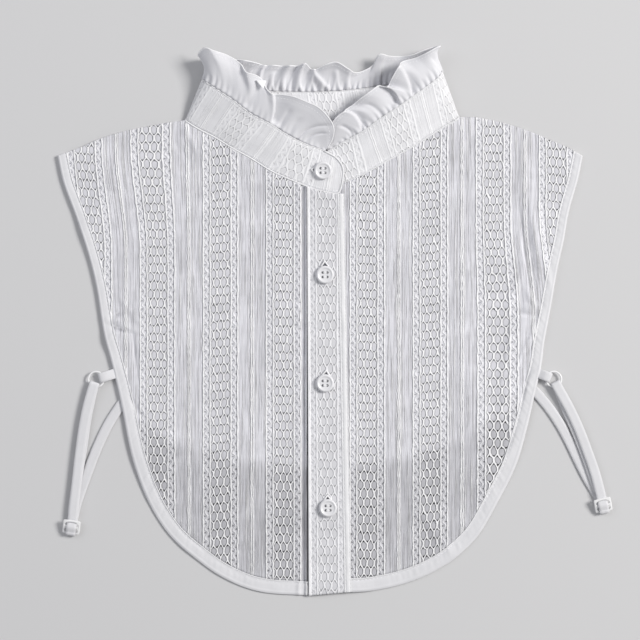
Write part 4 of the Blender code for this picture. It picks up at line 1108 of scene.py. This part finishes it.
# The same lace beneath the fronts: matt and even
back_look = lace_cotton("dobby lace cotton, under", "#E9E9EF", "#FCFCFE", 0.96, 0.8, 0.5, 0.0, 1.0)
# The same lace, folded and pressed: its cells are flat and let nothing through
placket_look = lace_cotton("dobby lace cotton, folded", "#DEDEE2", "#F0F0F3", 1.0, 1.0, 0.34, 0.0, 0.34)
# The same lace on a stiffened band: the flattest, its cells only just drawn
band_look = lace_cotton("dobby lace cotton, doubled", "#E9E9EC", "#F4F4F6", 1.0, 1.0, 0.22, 0.0, 0.2)
# Thin plain cotton: matt, soft grey in its folds. Its 0.2 mm threads are drawn at 0.7 mm, here and below.
ruffle_look = plain_cotton("plain cotton lawn", "#E0E0E4", 0.7, 0.03)
# The lawn rolled into a hem: a bright thin line, a painted highlight much lighter than the lawn
hem_highlight_look = plain_cotton("rolled cotton hem, painted highlight", "#F8F8FA", 0.7, 0.03)
# A pressed cotton strip: matt, flat and even, a shade darker than the rolled folds, which carry the painted
# highlight
bound_look = plain_cotton("pressed cotton binding", "#DFDFE2", 0.7, 0.03)
# A cotton fold: matt, painted lighter than the pressed binding as a painted highlight along its back
fold_highlight_look = plain_cotton("rolled cotton fold, painted highlight", "#EAEAEC", 0.7, 0.03)
# Woven elastic: matt and ribbed; its ribs are drawn at 0.9 mm
elastic_look = plain_cotton("woven elastic", "#E2E2E5", 0.9, 0.12)
# Painted shade: a dull dark grey that stands for the shade deep in a buttonhole's slit
slit_shade_look = plain_cotton("painted shade in a buttonhole slit", "#77777D", 0.7, 0.03)
# Spun cotton thread: bright and matt
thread_look = plain_cotton("sewing thread", "#F4F4F6", 0.5, 0.02)
# Moulded nylon: smooth, with a soft gloss
nylon_look = moulded("moulded nylon", "#F0F0F1", 0.35, 0.01)
# Moulded polyester: smooth and a little glossier
button_look = moulded("moulded polyester button", "#E5E5E8", 0.3, 0.01)

stage()
back(hardware())
front("right", SHOULDER_RIGHT, over_neck, EDGE_RIGHT, PLACKET_LEFT_TOP - GAP, right_front_height)
front("left", SHOULDER_LEFT, under_neck, EDGE_LEFT, UNDERLAP_EDGE, left_front_height)
placket()
band()
ruffle()
disc_mesh = turned_button()
for place in BUTTONS:
    button(place, disc_mesh)
